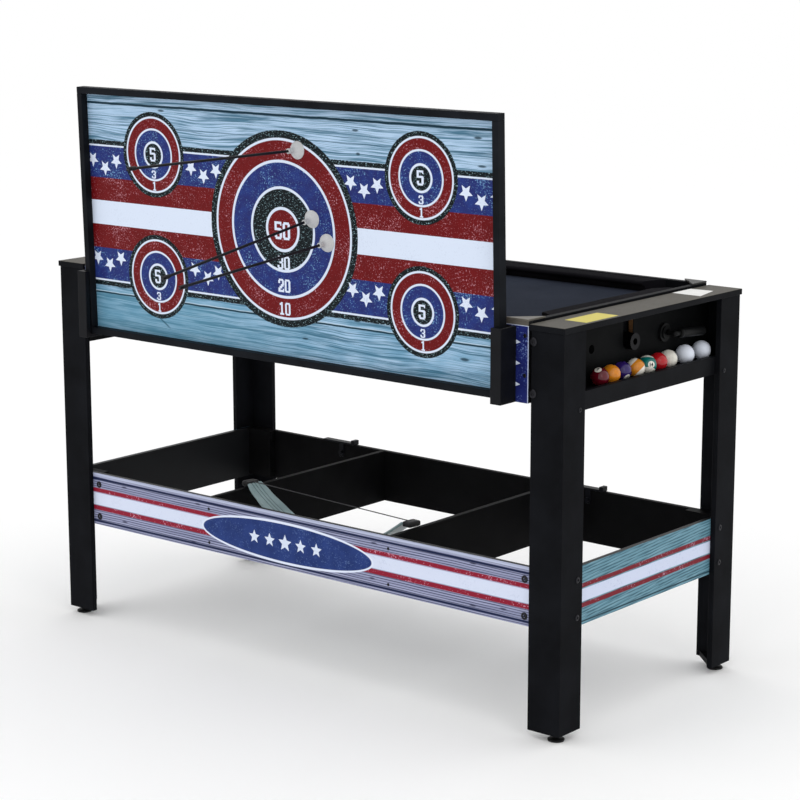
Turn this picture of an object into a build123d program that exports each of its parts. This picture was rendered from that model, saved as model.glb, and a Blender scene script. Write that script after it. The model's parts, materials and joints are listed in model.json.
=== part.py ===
from build123d import *
import os
from math import sin, cos, radians, sqrt, atan2, degrees

# Swivel multi-game table: two fixed end headers on L-shaped legs carry a
# double-sided playing body that turns about a long horizontal axle. A framed
# archery target stands in two sockets on the body's front apron.
# Millimetres. Origin on the floor, centred between the four feet.
# +X along the length, +Y to the back, +Z up.

# ---------------------------------------------------------------- dimensions
LEG_X = 690.0          # outer faces of the legs, half length
LEG_Y = 308.0          # outer faces of the legs, half width
BOARD_T = 12.0         # laminated board of legs, headers and tray
LEG_W = 75.5           # width of a leg's face board along X
LEG_D = 71.0           # width of a leg's side board along Y
LEG_BOTTOM = 15.0      # underside of the legs above the floor
TOP_Z = 813.0          # top of the header caps: table height
CAP_T = 12.0
CAP_IN = 611.5         # inner edge of a cap
CAP_OUT = 693.0        # outer edge of a cap
CAP_Y = 311.0

FOOT_X, FOOT_Y = 668.0, 286.0   # centres of the levelling feet
FOOT_R = 16.5
FOOT_H = 6.0
FOOT_STEM_R = 4.0
CORNER_PLATE_T = 12.0

TRAY_LOW, TRAY_HIGH = 218.5, 337.5   # stretchers of the lower tray
DIV_L = (-258.0, -246.0)             # left divider, X range
DIV_R = (247.0, 259.0)               # right divider, X range

HEAD_LOW = 643.0       # underside of the ball lips
PANEL_LOW = 637.5      # underside of the inner panels
PANEL_IN = 612.0       # inner face of a header's inner panel
LIP_OUT = LEG_X - BOARD_T            # outer face of the ball lip
LIP_TOP = 680.0
LEDGE_TOP = 670.0      # floor of the ball ledge

PIVOT_Z = 740.0        # height of the swivel axle
AXLE_R = 17.0
AXLE_BORE_R = 7.0
AXLE_TIP = 641.0
SLOT_R = 17.4          # open-top slot that the axle drops into
LOCK_Y = 125.0         # lock pin, to the back of the axle
LOCK_R = 5.0
LOCK_BORE_R = 5.05
LOCK_TIP = 611.0       # pin withdrawn: clear of the playing body
LOCK_NOSE_R = 4.0      # turned-down nose that finds the hole in the body
LOCK_HOLE_R = 7.0

BODY_X = 608.0         # playing body, half length
BODY_Y = 309.0         # half width
BODY_T = 15.0          # its rim boards
BODY_LOW, BODY_HIGH = 660.0, 817.0
BED_TOP = 789.0        # pool bed under the cloth
BED_T = 9.0
CLOTH_T = 2.5
POCKET_R = 31.0
SIDE_POCKET_R = 28.0
CORNER_POCKET = (560.0, 261.0)
SIDE_POCKET_Y = 262.0
CUP_DEPTH = 52.0

SOCKET_X = (555.0, 580.0)   # target socket, X range (mirrored on the left)
SOCKET_Y = (-357.0, -309.0)
SOCKET_FLOOR = 668.0        # the target stands on this
SOCKET_WALL = 11.5          # front wall
SOCKET_Z = (660.0, 806.0)

TARGET_HALF = 567.5    # target board
TARGET_H = 537.0
TARGET_T = 22.0
TARGET_FRAME = 14.0
TARGET_PANEL = (17.0, 22.0)          # panel thickness range behind the front
TARGET_LEAN = 1.6                    # degrees, top towards the player
TARGET_FOOT = (-341.0, 668.05)       # Y, Z of its lower front edge

ARROW_L = 457.0
ARROW_R = 2.75
CUP_R = 18.5            # suction cup, radius of its rim

BALL_R = 19.0
TT_R = 20.0


# ------------------------------------------------------------------- helpers
def box(x0, x1, y0, y1, z0, z1):
    return Pos((x0 + x1) / 2, (y0 + y1) / 2, (z0 + z1) / 2) * Box(abs(x1 - x0), abs(y1 - y0), abs(z1 - z0))


def cx(x0, x1, y, z, r):
    return Pos((x0 + x1) / 2, y, z) * Rot(0, 90, 0) * Cylinder(r, abs(x1 - x0))


def cy(x, y0, y1, z, r):
    return Pos(x, (y0 + y1) / 2, z) * Rot(90, 0, 0) * Cylinder(r, abs(y1 - y0))


def cz(x, y, z0, z1, r):
    return Pos(x, y, (z0 + z1) / 2) * Cylinder(r, abs(z1 - z0))


def prism_x(pts, x0, x1):
    """Closed (y, z) outline extruded from x0 to x1."""
    f = make_face(Polyline([Vector(x0, a, b) for a, b in pts], close=True))
    return extrude(f, amount=abs(x1 - x0), dir=(1 if x1 > x0 else -1, 0, 0))


def prism_y(pts, y0, y1):
    f = make_face(Polyline([Vector(a, y0, b) for a, b in pts], close=True))
    return extrude(f, amount=abs(y1 - y0), dir=(0, 1 if y1 > y0 else -1, 0))


def prism_z(pts, z0, z1):
    f = make_face(Polyline([Vector(a, b, z0) for a, b in pts], close=True))
    return extrude(f, amount=abs(z1 - z0), dir=(0, 0, 1 if z1 > z0 else -1))


def along(origin, direction, solid):
    """Place a solid built on +Z so that its axis runs along direction."""
    return Plane(origin=origin, z_dir=direction) * solid


def mirror_x(s):
    return mirror(s, about=Plane.YZ)


def mirror_y(s):
    return mirror(s, about=Plane.XZ)


PARTS = {}


def put(name, *shapes):
    out = []
    for s in shapes:
        out.extend(s.solids())
    PARTS[name] = out


def cut(name, *tools):
    res = []
    for s in PARTS[name]:
        for t in tools:
            s = s - t
        res.extend(s.solids())
    PARTS[name] = res


# -------------------------------------------------------------------- screws
def screw(x, y, z, d, head_r, head_h, shank_r, shank_l):
    """Domed head standing on the surface, shank driven against direction d."""
    head = Pos(0, 0, head_h / 2) * Cylinder(head_r, head_h)
    head = chamfer(head.edges().group_by(Axis.Z)[-1], head_h * 0.55)
    shank = Pos(0, 0, -shank_l / 2) * Cylinder(shank_r, shank_l)
    return Plane(origin=(x, y, z), z_dir=d) * (head + shank), Plane(origin=(x, y, z), z_dir=d) * shank


frame_screws, frame_shanks = [], {}
body_screws, body_shanks = [], {}


def drive(store, shanks, nodes, *a):
    s, k = screw(*a)
    store.append(s)
    for n in nodes:
        shanks.setdefault(n, []).append(k)


# ---------------------------------------------------------------------- legs
leg_fr = box(LEG_X - LEG_W, LEG_X, -LEG_Y, -LEG_Y + BOARD_T, LEG_BOTTOM, TOP_Z - CAP_T) + \
    box(LEG_X - BOARD_T, LEG_X, -LEG_Y, -LEG_Y + LEG_D, LEG_BOTTOM, TOP_Z - CAP_T)
put("leg_front_right", leg_fr)
put("leg_front_left", mirror_x(leg_fr))
put("leg_back_right", mirror_y(leg_fr))
put("leg_back_left", mirror_x(mirror_y(leg_fr)))

# triangular plates inside the bottom of each leg carry the levelling feet
ix, iy = LEG_X - BOARD_T, LEG_Y - BOARD_T
plate = prism_z([(ix, -iy), (ix - 56, -iy), (ix, -iy + 52)], LEG_BOTTOM, LEG_BOTTOM + CORNER_PLATE_T)
plate = plate - cz(FOOT_X, -FOOT_Y, 0, 60, FOOT_STEM_R + 0.05)
put("leg_corner_plates", plate, mirror_x(plate), mirror_y(plate), mirror_x(mirror_y(plate)))

foot = cz(FOOT_X, -FOOT_Y, 0, FOOT_H, FOOT_R)
foot = chamfer(foot.edges().group_by(Axis.Z)[-1], 2.5)
foot = foot + cz(FOOT_X, -FOOT_Y, FOOT_H - 0.5, 30, FOOT_STEM_R)
put("foot_front_right", foot)
put("foot_front_left", mirror_x(foot))
put("foot_back_right", mirror_y(foot))
put("foot_back_left", mirror_x(mirror_y(foot)))

# ---------------------------------------------------------------- lower tray
put("front_stretcher", box(-ix, ix, -iy, -iy + BOARD_T, TRAY_LOW, TRAY_HIGH))
put("back_stretcher", box(-ix, ix, iy - BOARD_T, iy, TRAY_LOW, TRAY_HIGH))
put("end_stretchers", box(ix - BOARD_T, ix, -iy + BOARD_T, iy - BOARD_T, TRAY_LOW, TRAY_HIGH),
    box(-ix, -ix + BOARD_T, -iy + BOARD_T, iy - BOARD_T, TRAY_LOW, TRAY_HIGH))
put("tray_dividers", box(DIV_L[0], DIV_L[1], -iy + BOARD_T, iy - BOARD_T, TRAY_LOW, TRAY_HIGH),
    box(DIV_R[0], DIV_R[1], -iy + BOARD_T, iy - BOARD_T, TRAY_LOW, TRAY_HIGH))
cleat = box(ix - BOARD_T - 70, ix - BOARD_T, -iy + BOARD_T, -iy + BOARD_T + 18, TRAY_LOW + 4, TRAY_HIGH)
put("corner_cleats", cleat, mirror_x(cleat), mirror_y(cleat), mirror_x(mirror_y(cleat)))


# clips that hook over the back stretcher and hold the bow or a cue
def clip(x0):
    y_in = iy - BOARD_T
    plate_ = box(x0 - 58, x0 + 40, y_in - 3, iy + 3, TRAY_HIGH, TRAY_HIGH + 4)
    leg_in = box(x0 - 7, x0 + 7, y_in - 3, y_in, TRAY_HIGH - 32, TRAY_HIGH)
    leg_out = box(x0 - 30, x0 + 30, iy, iy + 3, TRAY_HIGH - 26, TRAY_HIGH)
    nub = box(x0 + 30, x0 + 40, y_in - 3, iy + 3, TRAY_HIGH + 4, TRAY_HIGH + 11)
    stud = cy(x0, y_in - 8, y_in - 3, TRAY_HIGH - 22, 5.0)
    return plate_ + leg_in + leg_out + nub + stud


put("back_clips", clip(-378.0), clip(336.0))

# ------------------------------------------------------------------- headers
def header_panel():
    p = box(PANEL_IN, PANEL_IN + BOARD_T, -iy, iy, PANEL_LOW, TOP_Z - CAP_T)
    p = p - cx(PANEL_IN - 1, PANEL_IN + BOARD_T + 1, 0, PIVOT_Z, SLOT_R)
    p = p - box(PANEL_IN - 1, PANEL_IN + BOARD_T + 1, -SLOT_R, SLOT_R, PIVOT_Z, TOP_Z)
    for s in (-1, 1):
        p = p - cx(PANEL_IN - 1, PANEL_IN + BOARD_T + 1, s * LOCK_Y, PIVOT_Z, 9.0)
    return p


hp = header_panel()
put("header_panel_right", hp)
put("header_panel_left", mirror_x(hp))
lip = box(LIP_OUT - BOARD_T, LIP_OUT, -iy, iy, HEAD_LOW, LIP_TOP)
put("ball_lips", lip, mirror_x(lip))
ledge = box(PANEL_IN + BOARD_T, LIP_OUT - BOARD_T, -iy, iy, LEDGE_TOP - BOARD_T, LEDGE_TOP)
put("ball_ledges", ledge, mirror_x(ledge))
cap = box(CAP_IN, CAP_OUT, -CAP_Y, CAP_Y, TOP_Z - CAP_T, TOP_Z)
put("header_cap_right", cap)
put("header_cap_left", mirror_x(cap))

# guide bush of the lock pin, pressed into the inner panel behind the axle
bush = cx(PANEL_IN, PANEL_IN + BOARD_T, LOCK_Y, PIVOT_Z, 9.0) + \
    cx(PANEL_IN + BOARD_T, PANEL_IN + BOARD_T + 6, LOCK_Y, PIVOT_Z, 19.0) + \
    cx(PANEL_IN + BOARD_T + 6, 633.0, LOCK_Y, PIVOT_Z, 13.0)
bush = bush - cx(600, 660, LOCK_Y, PIVOT_Z, LOCK_BORE_R)
put("lock_bushes", bush, mirror_x(bush))

# lock pin: a rod bent into a side handle that lies towards the back
HANDLE_X = 652.0
HANDLE_L = 104.0
GRIP_R = 10.0
HANDLE_DROP = 4.0      # degrees
hdir = (0, cos(radians(HANDLE_DROP)), -sin(radians(HANDLE_DROP)))
pin = cx(LOCK_TIP, 624.0, LOCK_Y, PIVOT_Z, LOCK_NOSE_R) + cx(623.0, HANDLE_X, LOCK_Y, PIVOT_Z, LOCK_R)
pin = pin + Pos(HANDLE_X, LOCK_Y, PIVOT_Z) * Sphere(LOCK_R + 1.5)
grip = Pos(0, 0, (HANDLE_L + 16) / 2) * Cylinder(GRIP_R, HANDLE_L - 16)
grip = fillet(grip.edges().filter_by(GeomType.CIRCLE), 3.0)
handle = Pos(0, 0, 10.5) * Cylinder(LOCK_R, 21) + grip
pin = pin + along((HANDLE_X, LOCK_Y, PIVOT_Z), hdir, handle)
put("lock_pin_right", pin)
put("lock_pin_left", mirror_x(pin))

# -------------------------------------------------------------- playing body
bx, by = BODY_X - BODY_T, BODY_Y - BODY_T
put("front_apron", box(-BODY_X, BODY_X, -BODY_Y, -by, BODY_LOW, BODY_HIGH))
put("back_apron", box(-BODY_X, BODY_X, by, BODY_Y, BODY_LOW, BODY_HIGH))
end = box(bx, BODY_X, -by, by, BODY_LOW, BODY_HIGH)
end = end - cx(bx - 1, BODY_X + 1, 0, PIVOT_Z, AXLE_R)
for s in (-1, 1):
    end = end - cx(bx - 1, BODY_X + 1, s * LOCK_Y, PIVOT_Z, LOCK_HOLE_R)
put("right_end_board", end)
put("left_end_board", mirror_x(end))

axle = cx(bx - 6, AXLE_TIP, 0, PIVOT_Z, AXLE_R) + cx(bx - 6, bx, 0, PIVOT_Z, 38.0)
axle = axle - cx(bx - 10, AXLE_TIP + 1, 0, PIVOT_Z, AXLE_BORE_R)
put("pivot_axles", axle, mirror_x(axle))

# pool side: bed, cloth, cushions, pockets
px, py = CORNER_POCKET
holes = [cz(sx * px, sy * py, BED_TOP - BED_T - 1, BED_TOP + CLOTH_T + 1, POCKET_R) for sx in (-1, 1) for sy in (-1, 1)]
holes += [cz(0, sy * SIDE_POCKET_Y, BED_TOP - BED_T - 1, BED_TOP + CLOTH_T + 1, SIDE_POCKET_R) for sy in (-1, 1)]
bed = box(-bx, bx, -by, by, BED_TOP - BED_T, BED_TOP)
cloth = box(-bx, bx, -by, by, BED_TOP, BED_TOP + CLOTH_T)
for h in holes:
    bed = bed - h
    cloth = cloth - h
put("pool_bed", bed)
put("pool_cloth", cloth)

ct = BED_TOP + CLOTH_T
side_profile = [(-by, ct), (-by, 816.0), (-by + 36, 814.0), (-by + 40, 806.0), (-by + 32, ct)]
end_profile = [(bx, ct), (bx, 816.0), (bx - 41, 814.0), (bx - 45, 806.0), (bx - 37, ct)]
side = prism_x(side_profile, 42, 518)
side = side - prism_z([(41, -240), (41, -296), (42, -296), (56, -240)], 780, 820) \
    - prism_z([(519, -240), (519, -296), (518, -296), (484, -240)], 780, 820)
endc = prism_y(end_profile, -219, 219)
endc = endc - prism_z([(594, -220), (540, -220), (540, -186)], 780, 820) - prism_z([(594, 220), (540, 220), (540, 186)], 780, 820)
put("side_cushions", side, mirror_x(side), mirror_y(side), mirror_x(mirror_y(side)))
put("end_cushions", endc, mirror_x(endc))

cover = prism_z([(BODY_X, -BODY_Y), (BODY_X - 54, -BODY_Y), (BODY_X, -BODY_Y + 54)], BODY_HIGH, BODY_HIGH + 4)
cover = cover - cz(px, -py, BODY_HIGH - 1, BODY_HIGH + 5, POCKET_R)
put("pocket_covers", cover, mirror_x(cover), mirror_y(cover), mirror_x(mirror_y(cover)))

CUP_TOP = BED_TOP - BED_T


def pocket_cup(x, y, r):
    c = cz(x, y, CUP_TOP - CUP_DEPTH, CUP_TOP, r + 2.0) - cz(x, y, CUP_TOP - CUP_DEPTH + 2.0, CUP_TOP + 1, r)
    return c


put("pocket_cups", *[pocket_cup(sx * px, sy * py, POCKET_R) for sx in (-1, 1) for sy in (-1, 1)],
    *[pocket_cup(0, sy * SIDE_POCKET_Y, SIDE_POCKET_R) for sy in (-1, 1)])

# underside: smooth puck bed, walled by the rim boards
low_top = 2 * PIVOT_Z - (BED_TOP - BED_T)      # bed mirrored about the axle
put("hockey_bed", box(-bx, bx, -by, by, 2 * PIVOT_Z - BED_TOP, low_top))


# sockets that hold the target board
def socket():
    x0, x1 = SOCKET_X
    y0, y1 = SOCKET_Y
    z0, z1 = SOCKET_Z
    s = box(x0, x1, y0, y1, z0, z1)
    s = s - box(x0 - 1, x1 - 7, y0 + SOCKET_WALL, y1 - 4, SOCKET_FLOOR, z1 + 1)
    return s


sk = socket()
put("target_sockets", sk, mirror_x(sk))

# -------------------------------------------------------------- target board
th = radians(TARGET_LEAN)


def lean(s):
    """Board drawn upright with its lower front edge on y=0, z=0."""
    return Pos(0, TARGET_FOOT[0], TARGET_FOOT[1]) * Rot(TARGET_LEAN, 0, 0) * s


rail = box(-TARGET_HALF, TARGET_HALF, 0, TARGET_T, 0, TARGET_FRAME)
rail = rail - box(-TARGET_HALF + 6, TARGET_HALF - 6, TARGET_PANEL[0], TARGET_PANEL[1], 6, TARGET_FRAME)
stile = box(TARGET_HALF - TARGET_FRAME, TARGET_HALF, 0, TARGET_T, TARGET_FRAME, TARGET_H - TARGET_FRAME)
stile = stile - box(TARGET_HALF - TARGET_FRAME, TARGET_HALF - 6, TARGET_PANEL[0], TARGET_PANEL[1], TARGET_FRAME, TARGET_H - TARGET_FRAME)
top_rail = Pos(0, 0, TARGET_H) * mirror(rail, about=Plane.XY)
put("target_frame_rails", lean(rail), lean(top_rail))
put("target_frame_stiles", lean(stile), lean(mirror_x(stile)))
panel = box(-TARGET_HALF + 6, TARGET_HALF - 6, TARGET_PANEL[0], TARGET_PANEL[1], 6, TARGET_H - 6)
panel = panel - box(-TARGET_HALF, -TARGET_HALF + 6, 0, 40, 0, 600)
put("target_panel", lean(panel))


def panel_point(x, z):
    """Point on the panel's front face at world x, z."""
    v = (z - TARGET_FOOT[1] - TARGET_PANEL[0] * sin(th)) / cos(th)
    return (x, TARGET_FOOT[0] + TARGET_PANEL[0] * cos(th) - v * sin(th), z)


ARROWS = {
    1: ((53.0, 1105.5), (-7.8, -456.8, -1.3)),
    2: ((87.5, 970.0), (33.8, -451.4, -63.6)),
    3: ((126.0, 925.5), (41.2, -454.4, -31.4)),
}
for n, ((ax, az), d) in ARROWS.items():
    p0 = panel_point(ax, az)
    # suction cup: bell drawn on +Z, cut off flat by the panel
    prof = Polyline((0, 0, -5), (CUP_R, 0, -5), (CUP_R, 0, 1.6), (CUP_R - 3.0, 0, 5.5), (CUP_R - 8.0, 0, 9.5), (6.5, 0, 13.5),
                    (5.2, 0, 17.0), (5.0, 0, 28.0), (0, 0, 28.0), close=True)
    cup = revolve(make_face(prof), Axis.Z)
    cup = cup - Pos(0, 0, 19) * Cylinder(ARROW_R, 20)
    cup = along(p0, d, cup)
    cup = cup - lean(box(-700, 700, TARGET_PANEL[0], TARGET_PANEL[0] + 60, -50, 700))
    put(f"arrow_{n}_cup", cup)
    shaft = Pos(0, 0, 9 + (ARROW_L - 9) / 2) * Cylinder(ARROW_R, ARROW_L - 9)
    nock = Pos(0, 0, ARROW_L - 10) * Cylinder(4.2, 20)
    nock = nock - Pos(0, 0, ARROW_L) * Box(2.4, 12, 14)
    put(f"arrow_{n}_shaft", along(p0, d, shaft + nock - Pos(0, 0, ARROW_L) * Box(2.4, 12, 14)))

# ----------------------------------------------------------------------- bow
BOW_HALF = 240.0       # tips rest on the two dividers
BOW_SAG = 86.0
BOW_TIP_Z = 344.0
BOW_ANGLE = -5.1
BOW_CENTRE = (-9.0, -182.0)
LIMB_T = 6.0


def bow_place(s):
    return Pos(BOW_CENTRE[0], BOW_CENTRE[1], 0) * Rot(0, 0, BOW_ANGLE) * s


R_BOW = (BOW_HALF ** 2 + BOW_SAG ** 2) / (2 * BOW_SAG)
zc = BOW_TIP_Z - BOW_SAG + R_BOW
arc_out = ThreePointArc(Vector(-BOW_HALF, -60, BOW_TIP_Z), Vector(0, -60, zc - R_BOW), Vector(BOW_HALF, -60, BOW_TIP_Z))
k = (R_BOW - LIMB_T) / R_BOW
ti = Vector(-BOW_HALF * k, -60, zc - (zc - BOW_TIP_Z) * k)
arc_in = ThreePointArc(ti, Vector(0, -60, zc - R_BOW + LIMB_T), Vector(-ti.X, -60, ti.Z))
limb_face = make_face([arc_out, Line(arc_out @ 1, arc_in @ 1), arc_in, Line(arc_in @ 0, arc_out @ 0)])
limb = extrude(limb_face, amount=120, dir=(0, 1, 0))
outline = [(-252, -16), (-215, -25), (-170, -29), (-100, -25), (-50, -13), (50, -13), (100, -25), (170, -29), (215, -25), (252, -16),
           (252, 16), (215, 25), (170, 29), (100, 25), (50, 13), (-50, 13), (-100, 25), (-170, 29), (-215, 25), (-252, 16)]
limb = limb & prism_z(outline, 200, 400)
grip_b = Pos(0, 0, BOW_TIP_Z - BOW_SAG + 8) * Box(112, 26, 26)
grip_b = fillet(grip_b.edges().filter_by(Axis.X), 9.0)
tips = []
for s in (-1, 1):
    tips.append(Pos(s * (BOW_HALF + 8.5), 0, BOW_TIP_Z - 0.4) * Box(21, 34, 12.0))
bow_body = limb
bow_body = bow_body - grip_b - tips[0] - tips[1]
put("bow_limbs", *[bow_place(s) for s in bow_body.solids()])
string_z = BOW_TIP_Z + 4.0
string = cx(-BOW_HALF, BOW_HALF, 0, string_z, 1.25)
put("bow_string", bow_place(string - tips[0] - tips[1] - limb))
BOW_EXTRA = [bow_place(grip_b), bow_place(tips[0]), bow_place(tips[1])]
put("bow_grip_and_tips", *BOW_EXTRA)

# --------------------------------------------------------------------- balls
BALLS = {
    "ball_maroon": (646.7, -129.5), "ball_orange": (646.7, -90.5), "ball_purple": (643.4, -48.5),
    "ball_orange_stripe": (646.7, -6.0), "ball_teal_stripe": (646.7, 35.5), "ball_red": (646.7, 74.2),
    "ball_cue": (645.0, 113.0),
}
for n, (x, y) in BALLS.items():
    put(n, Pos(x, y, LEDGE_TOP + BALL_R) * Sphere(BALL_R))
put("table_tennis_ball_1", Pos(645.0, 174.0, LEDGE_TOP + TT_R) * Sphere(TT_R))
put("table_tennis_ball_2", Pos(645.0, 236.0, LEDGE_TOP + TT_R) * Sphere(TT_R))

# -------------------------------------------------------------------- screws
for sx, side_name in ((-1, "left"), (1, "right")):
    for sy, row in ((-1, "front"), (1, "back")):
        leg = f"leg_{row}_{side_name}"
        for z in (780.0, 681.0):
            drive(frame_screws, frame_shanks, (leg, f"header_panel_{side_name}"), sx * 619.5, sy * LEG_Y, z, (0, sy, 0), 8.5, 2.4, 2.5, 34.0)
        for z in (318.0, 243.0):
            drive(frame_screws, frame_shanks, (leg, "end_stretchers"), sx * LEG_X, sy * 254, z, (sx, 0, 0), 6.0, 1.9, 2.0, 22.0)
        drive(frame_screws, frame_shanks, (leg, "ball_lips"), sx * LEG_X, sy * 254, 650.0, (sx, 0, 0), 4.5, 1.6, 2.0, 22.0)
        for z in (312.0, 238.0):
            drive(frame_screws, frame_shanks, (f"{row}_stretcher", "corner_cleats"), sx * 596, sy * iy, z, (0, sy, 0), 7.5, 2.2, 2.0, 24.0)
        for z in (789.0, 713.0):
            drive(body_screws, body_shanks, (f"{row}_apron", f"{side_name}_end_board"), sx * (BODY_X - BODY_T / 2), sy * BODY_Y, z, (0, sy, 0), 4.0, 1.4, 2.0, 34.0)
for sy, row in ((-1, "front"), (1, "back")):
    for xm, dn in ((sum(DIV_L) / 2, "tray_dividers"), (sum(DIV_R) / 2, "tray_dividers")):
        for z in (312.0, 237.0):
            drive(frame_screws, frame_shanks, (f"{row}_stretcher", dn), xm, sy * iy, z, (0, sy, 0), 3.2, 1.1, 2.0, 32.0)
for d in (frame_shanks, body_shanks):
    for n, ks in d.items():
        cut(n, *ks)
put("frame_screws", *frame_screws)
put("body_screws", *body_screws)

# -------------------------------------------------------------------- export
os.makedirs("parts", exist_ok=True)
for f in os.listdir("parts"):
    if f.endswith(".step"):
        os.remove(os.path.join("parts", f))
for n, solids in PARTS.items():
    shape = solids[0] if len(solids) == 1 else Compound(children=list(solids))
    shape.label = n
    export_step(shape, f"parts/{n}.step")
print(len(PARTS), "parts")
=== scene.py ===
import bpy
import bmesh
import json
import math
import random
from mathutils import Matrix, Vector
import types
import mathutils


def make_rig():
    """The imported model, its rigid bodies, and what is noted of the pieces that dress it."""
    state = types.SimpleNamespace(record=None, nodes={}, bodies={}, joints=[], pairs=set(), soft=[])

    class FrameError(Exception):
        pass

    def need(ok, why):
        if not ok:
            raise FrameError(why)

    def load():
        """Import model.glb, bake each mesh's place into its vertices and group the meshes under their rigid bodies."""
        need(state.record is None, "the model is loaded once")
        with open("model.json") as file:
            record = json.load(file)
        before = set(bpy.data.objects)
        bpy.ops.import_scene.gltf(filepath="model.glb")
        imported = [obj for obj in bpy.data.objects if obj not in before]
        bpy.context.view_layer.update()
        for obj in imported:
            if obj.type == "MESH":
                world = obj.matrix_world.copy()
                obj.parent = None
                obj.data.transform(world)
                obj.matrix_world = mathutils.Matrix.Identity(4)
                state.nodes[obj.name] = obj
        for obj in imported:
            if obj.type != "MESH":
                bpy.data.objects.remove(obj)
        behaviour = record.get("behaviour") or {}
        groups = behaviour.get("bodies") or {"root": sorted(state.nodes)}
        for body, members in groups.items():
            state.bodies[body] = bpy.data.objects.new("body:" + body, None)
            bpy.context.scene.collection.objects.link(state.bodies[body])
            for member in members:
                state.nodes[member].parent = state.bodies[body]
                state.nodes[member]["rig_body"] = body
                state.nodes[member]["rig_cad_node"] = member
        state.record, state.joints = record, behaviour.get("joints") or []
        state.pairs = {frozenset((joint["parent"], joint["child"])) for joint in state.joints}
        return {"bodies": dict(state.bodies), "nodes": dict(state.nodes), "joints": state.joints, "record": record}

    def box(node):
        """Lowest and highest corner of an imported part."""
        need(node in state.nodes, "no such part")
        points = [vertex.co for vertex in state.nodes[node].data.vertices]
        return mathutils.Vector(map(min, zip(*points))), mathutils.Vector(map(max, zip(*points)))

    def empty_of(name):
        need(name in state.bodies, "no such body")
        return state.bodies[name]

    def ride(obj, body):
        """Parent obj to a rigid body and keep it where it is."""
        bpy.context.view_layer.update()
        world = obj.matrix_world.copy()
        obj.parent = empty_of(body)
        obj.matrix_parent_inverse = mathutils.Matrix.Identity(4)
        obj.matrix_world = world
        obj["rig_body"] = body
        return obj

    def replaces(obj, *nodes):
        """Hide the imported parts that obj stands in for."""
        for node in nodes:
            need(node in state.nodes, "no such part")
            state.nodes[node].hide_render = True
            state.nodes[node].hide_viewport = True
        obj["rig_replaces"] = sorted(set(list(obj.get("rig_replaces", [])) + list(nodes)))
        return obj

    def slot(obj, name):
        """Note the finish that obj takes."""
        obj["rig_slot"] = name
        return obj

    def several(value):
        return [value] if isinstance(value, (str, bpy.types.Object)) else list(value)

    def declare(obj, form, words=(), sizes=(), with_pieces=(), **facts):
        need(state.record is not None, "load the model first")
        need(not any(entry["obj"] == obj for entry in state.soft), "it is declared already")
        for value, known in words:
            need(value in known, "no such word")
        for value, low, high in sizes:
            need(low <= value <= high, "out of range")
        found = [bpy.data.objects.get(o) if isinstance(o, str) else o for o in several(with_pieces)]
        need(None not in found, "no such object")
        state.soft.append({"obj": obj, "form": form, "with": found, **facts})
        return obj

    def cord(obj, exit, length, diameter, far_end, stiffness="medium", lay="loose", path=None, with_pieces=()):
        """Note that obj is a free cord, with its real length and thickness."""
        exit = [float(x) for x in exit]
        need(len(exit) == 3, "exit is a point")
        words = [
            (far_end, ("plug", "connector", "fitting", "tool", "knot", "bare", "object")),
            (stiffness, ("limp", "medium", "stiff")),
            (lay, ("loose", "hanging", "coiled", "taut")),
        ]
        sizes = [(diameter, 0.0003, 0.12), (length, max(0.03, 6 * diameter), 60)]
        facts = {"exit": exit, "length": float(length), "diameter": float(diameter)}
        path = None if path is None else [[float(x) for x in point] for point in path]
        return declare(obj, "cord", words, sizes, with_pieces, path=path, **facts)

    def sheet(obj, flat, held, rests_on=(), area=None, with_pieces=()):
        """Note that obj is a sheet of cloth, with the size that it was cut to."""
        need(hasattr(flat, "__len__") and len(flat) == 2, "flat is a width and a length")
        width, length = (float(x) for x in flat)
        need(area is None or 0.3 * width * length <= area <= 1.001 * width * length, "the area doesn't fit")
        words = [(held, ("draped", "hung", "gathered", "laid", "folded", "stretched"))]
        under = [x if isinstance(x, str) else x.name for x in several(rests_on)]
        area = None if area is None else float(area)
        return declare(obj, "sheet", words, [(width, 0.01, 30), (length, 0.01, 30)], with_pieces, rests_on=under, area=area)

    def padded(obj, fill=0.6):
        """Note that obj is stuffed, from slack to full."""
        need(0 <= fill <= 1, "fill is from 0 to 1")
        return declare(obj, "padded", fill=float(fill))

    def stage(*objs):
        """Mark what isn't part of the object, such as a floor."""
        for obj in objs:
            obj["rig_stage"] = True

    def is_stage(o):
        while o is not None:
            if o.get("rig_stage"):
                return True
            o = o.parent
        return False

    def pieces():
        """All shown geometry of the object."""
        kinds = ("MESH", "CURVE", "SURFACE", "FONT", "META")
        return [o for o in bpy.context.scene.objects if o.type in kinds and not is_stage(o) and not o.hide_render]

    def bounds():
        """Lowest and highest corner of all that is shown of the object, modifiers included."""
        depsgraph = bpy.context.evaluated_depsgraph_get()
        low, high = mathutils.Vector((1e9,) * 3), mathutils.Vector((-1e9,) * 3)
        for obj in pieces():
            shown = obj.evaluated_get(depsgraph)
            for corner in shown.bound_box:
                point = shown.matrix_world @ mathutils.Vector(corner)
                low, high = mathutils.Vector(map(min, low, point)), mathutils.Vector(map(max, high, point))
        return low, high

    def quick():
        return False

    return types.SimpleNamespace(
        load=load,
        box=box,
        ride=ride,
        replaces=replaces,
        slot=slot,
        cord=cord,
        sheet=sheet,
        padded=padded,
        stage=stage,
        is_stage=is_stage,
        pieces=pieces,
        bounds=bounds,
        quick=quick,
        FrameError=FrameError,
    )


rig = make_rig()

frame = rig.load()
CAD_BOX = [list(v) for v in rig.bounds()]
NODES = frame["nodes"]
BODY_OF = {n: b for b, ns in frame["record"]["behaviour"]["bodies"].items() for n in ns}
SLOT_OF = {s["node"]: s["material_slot"] for s in frame["record"]["subparts"]}
SCENE = bpy.context.scene
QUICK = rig.quick()


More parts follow.
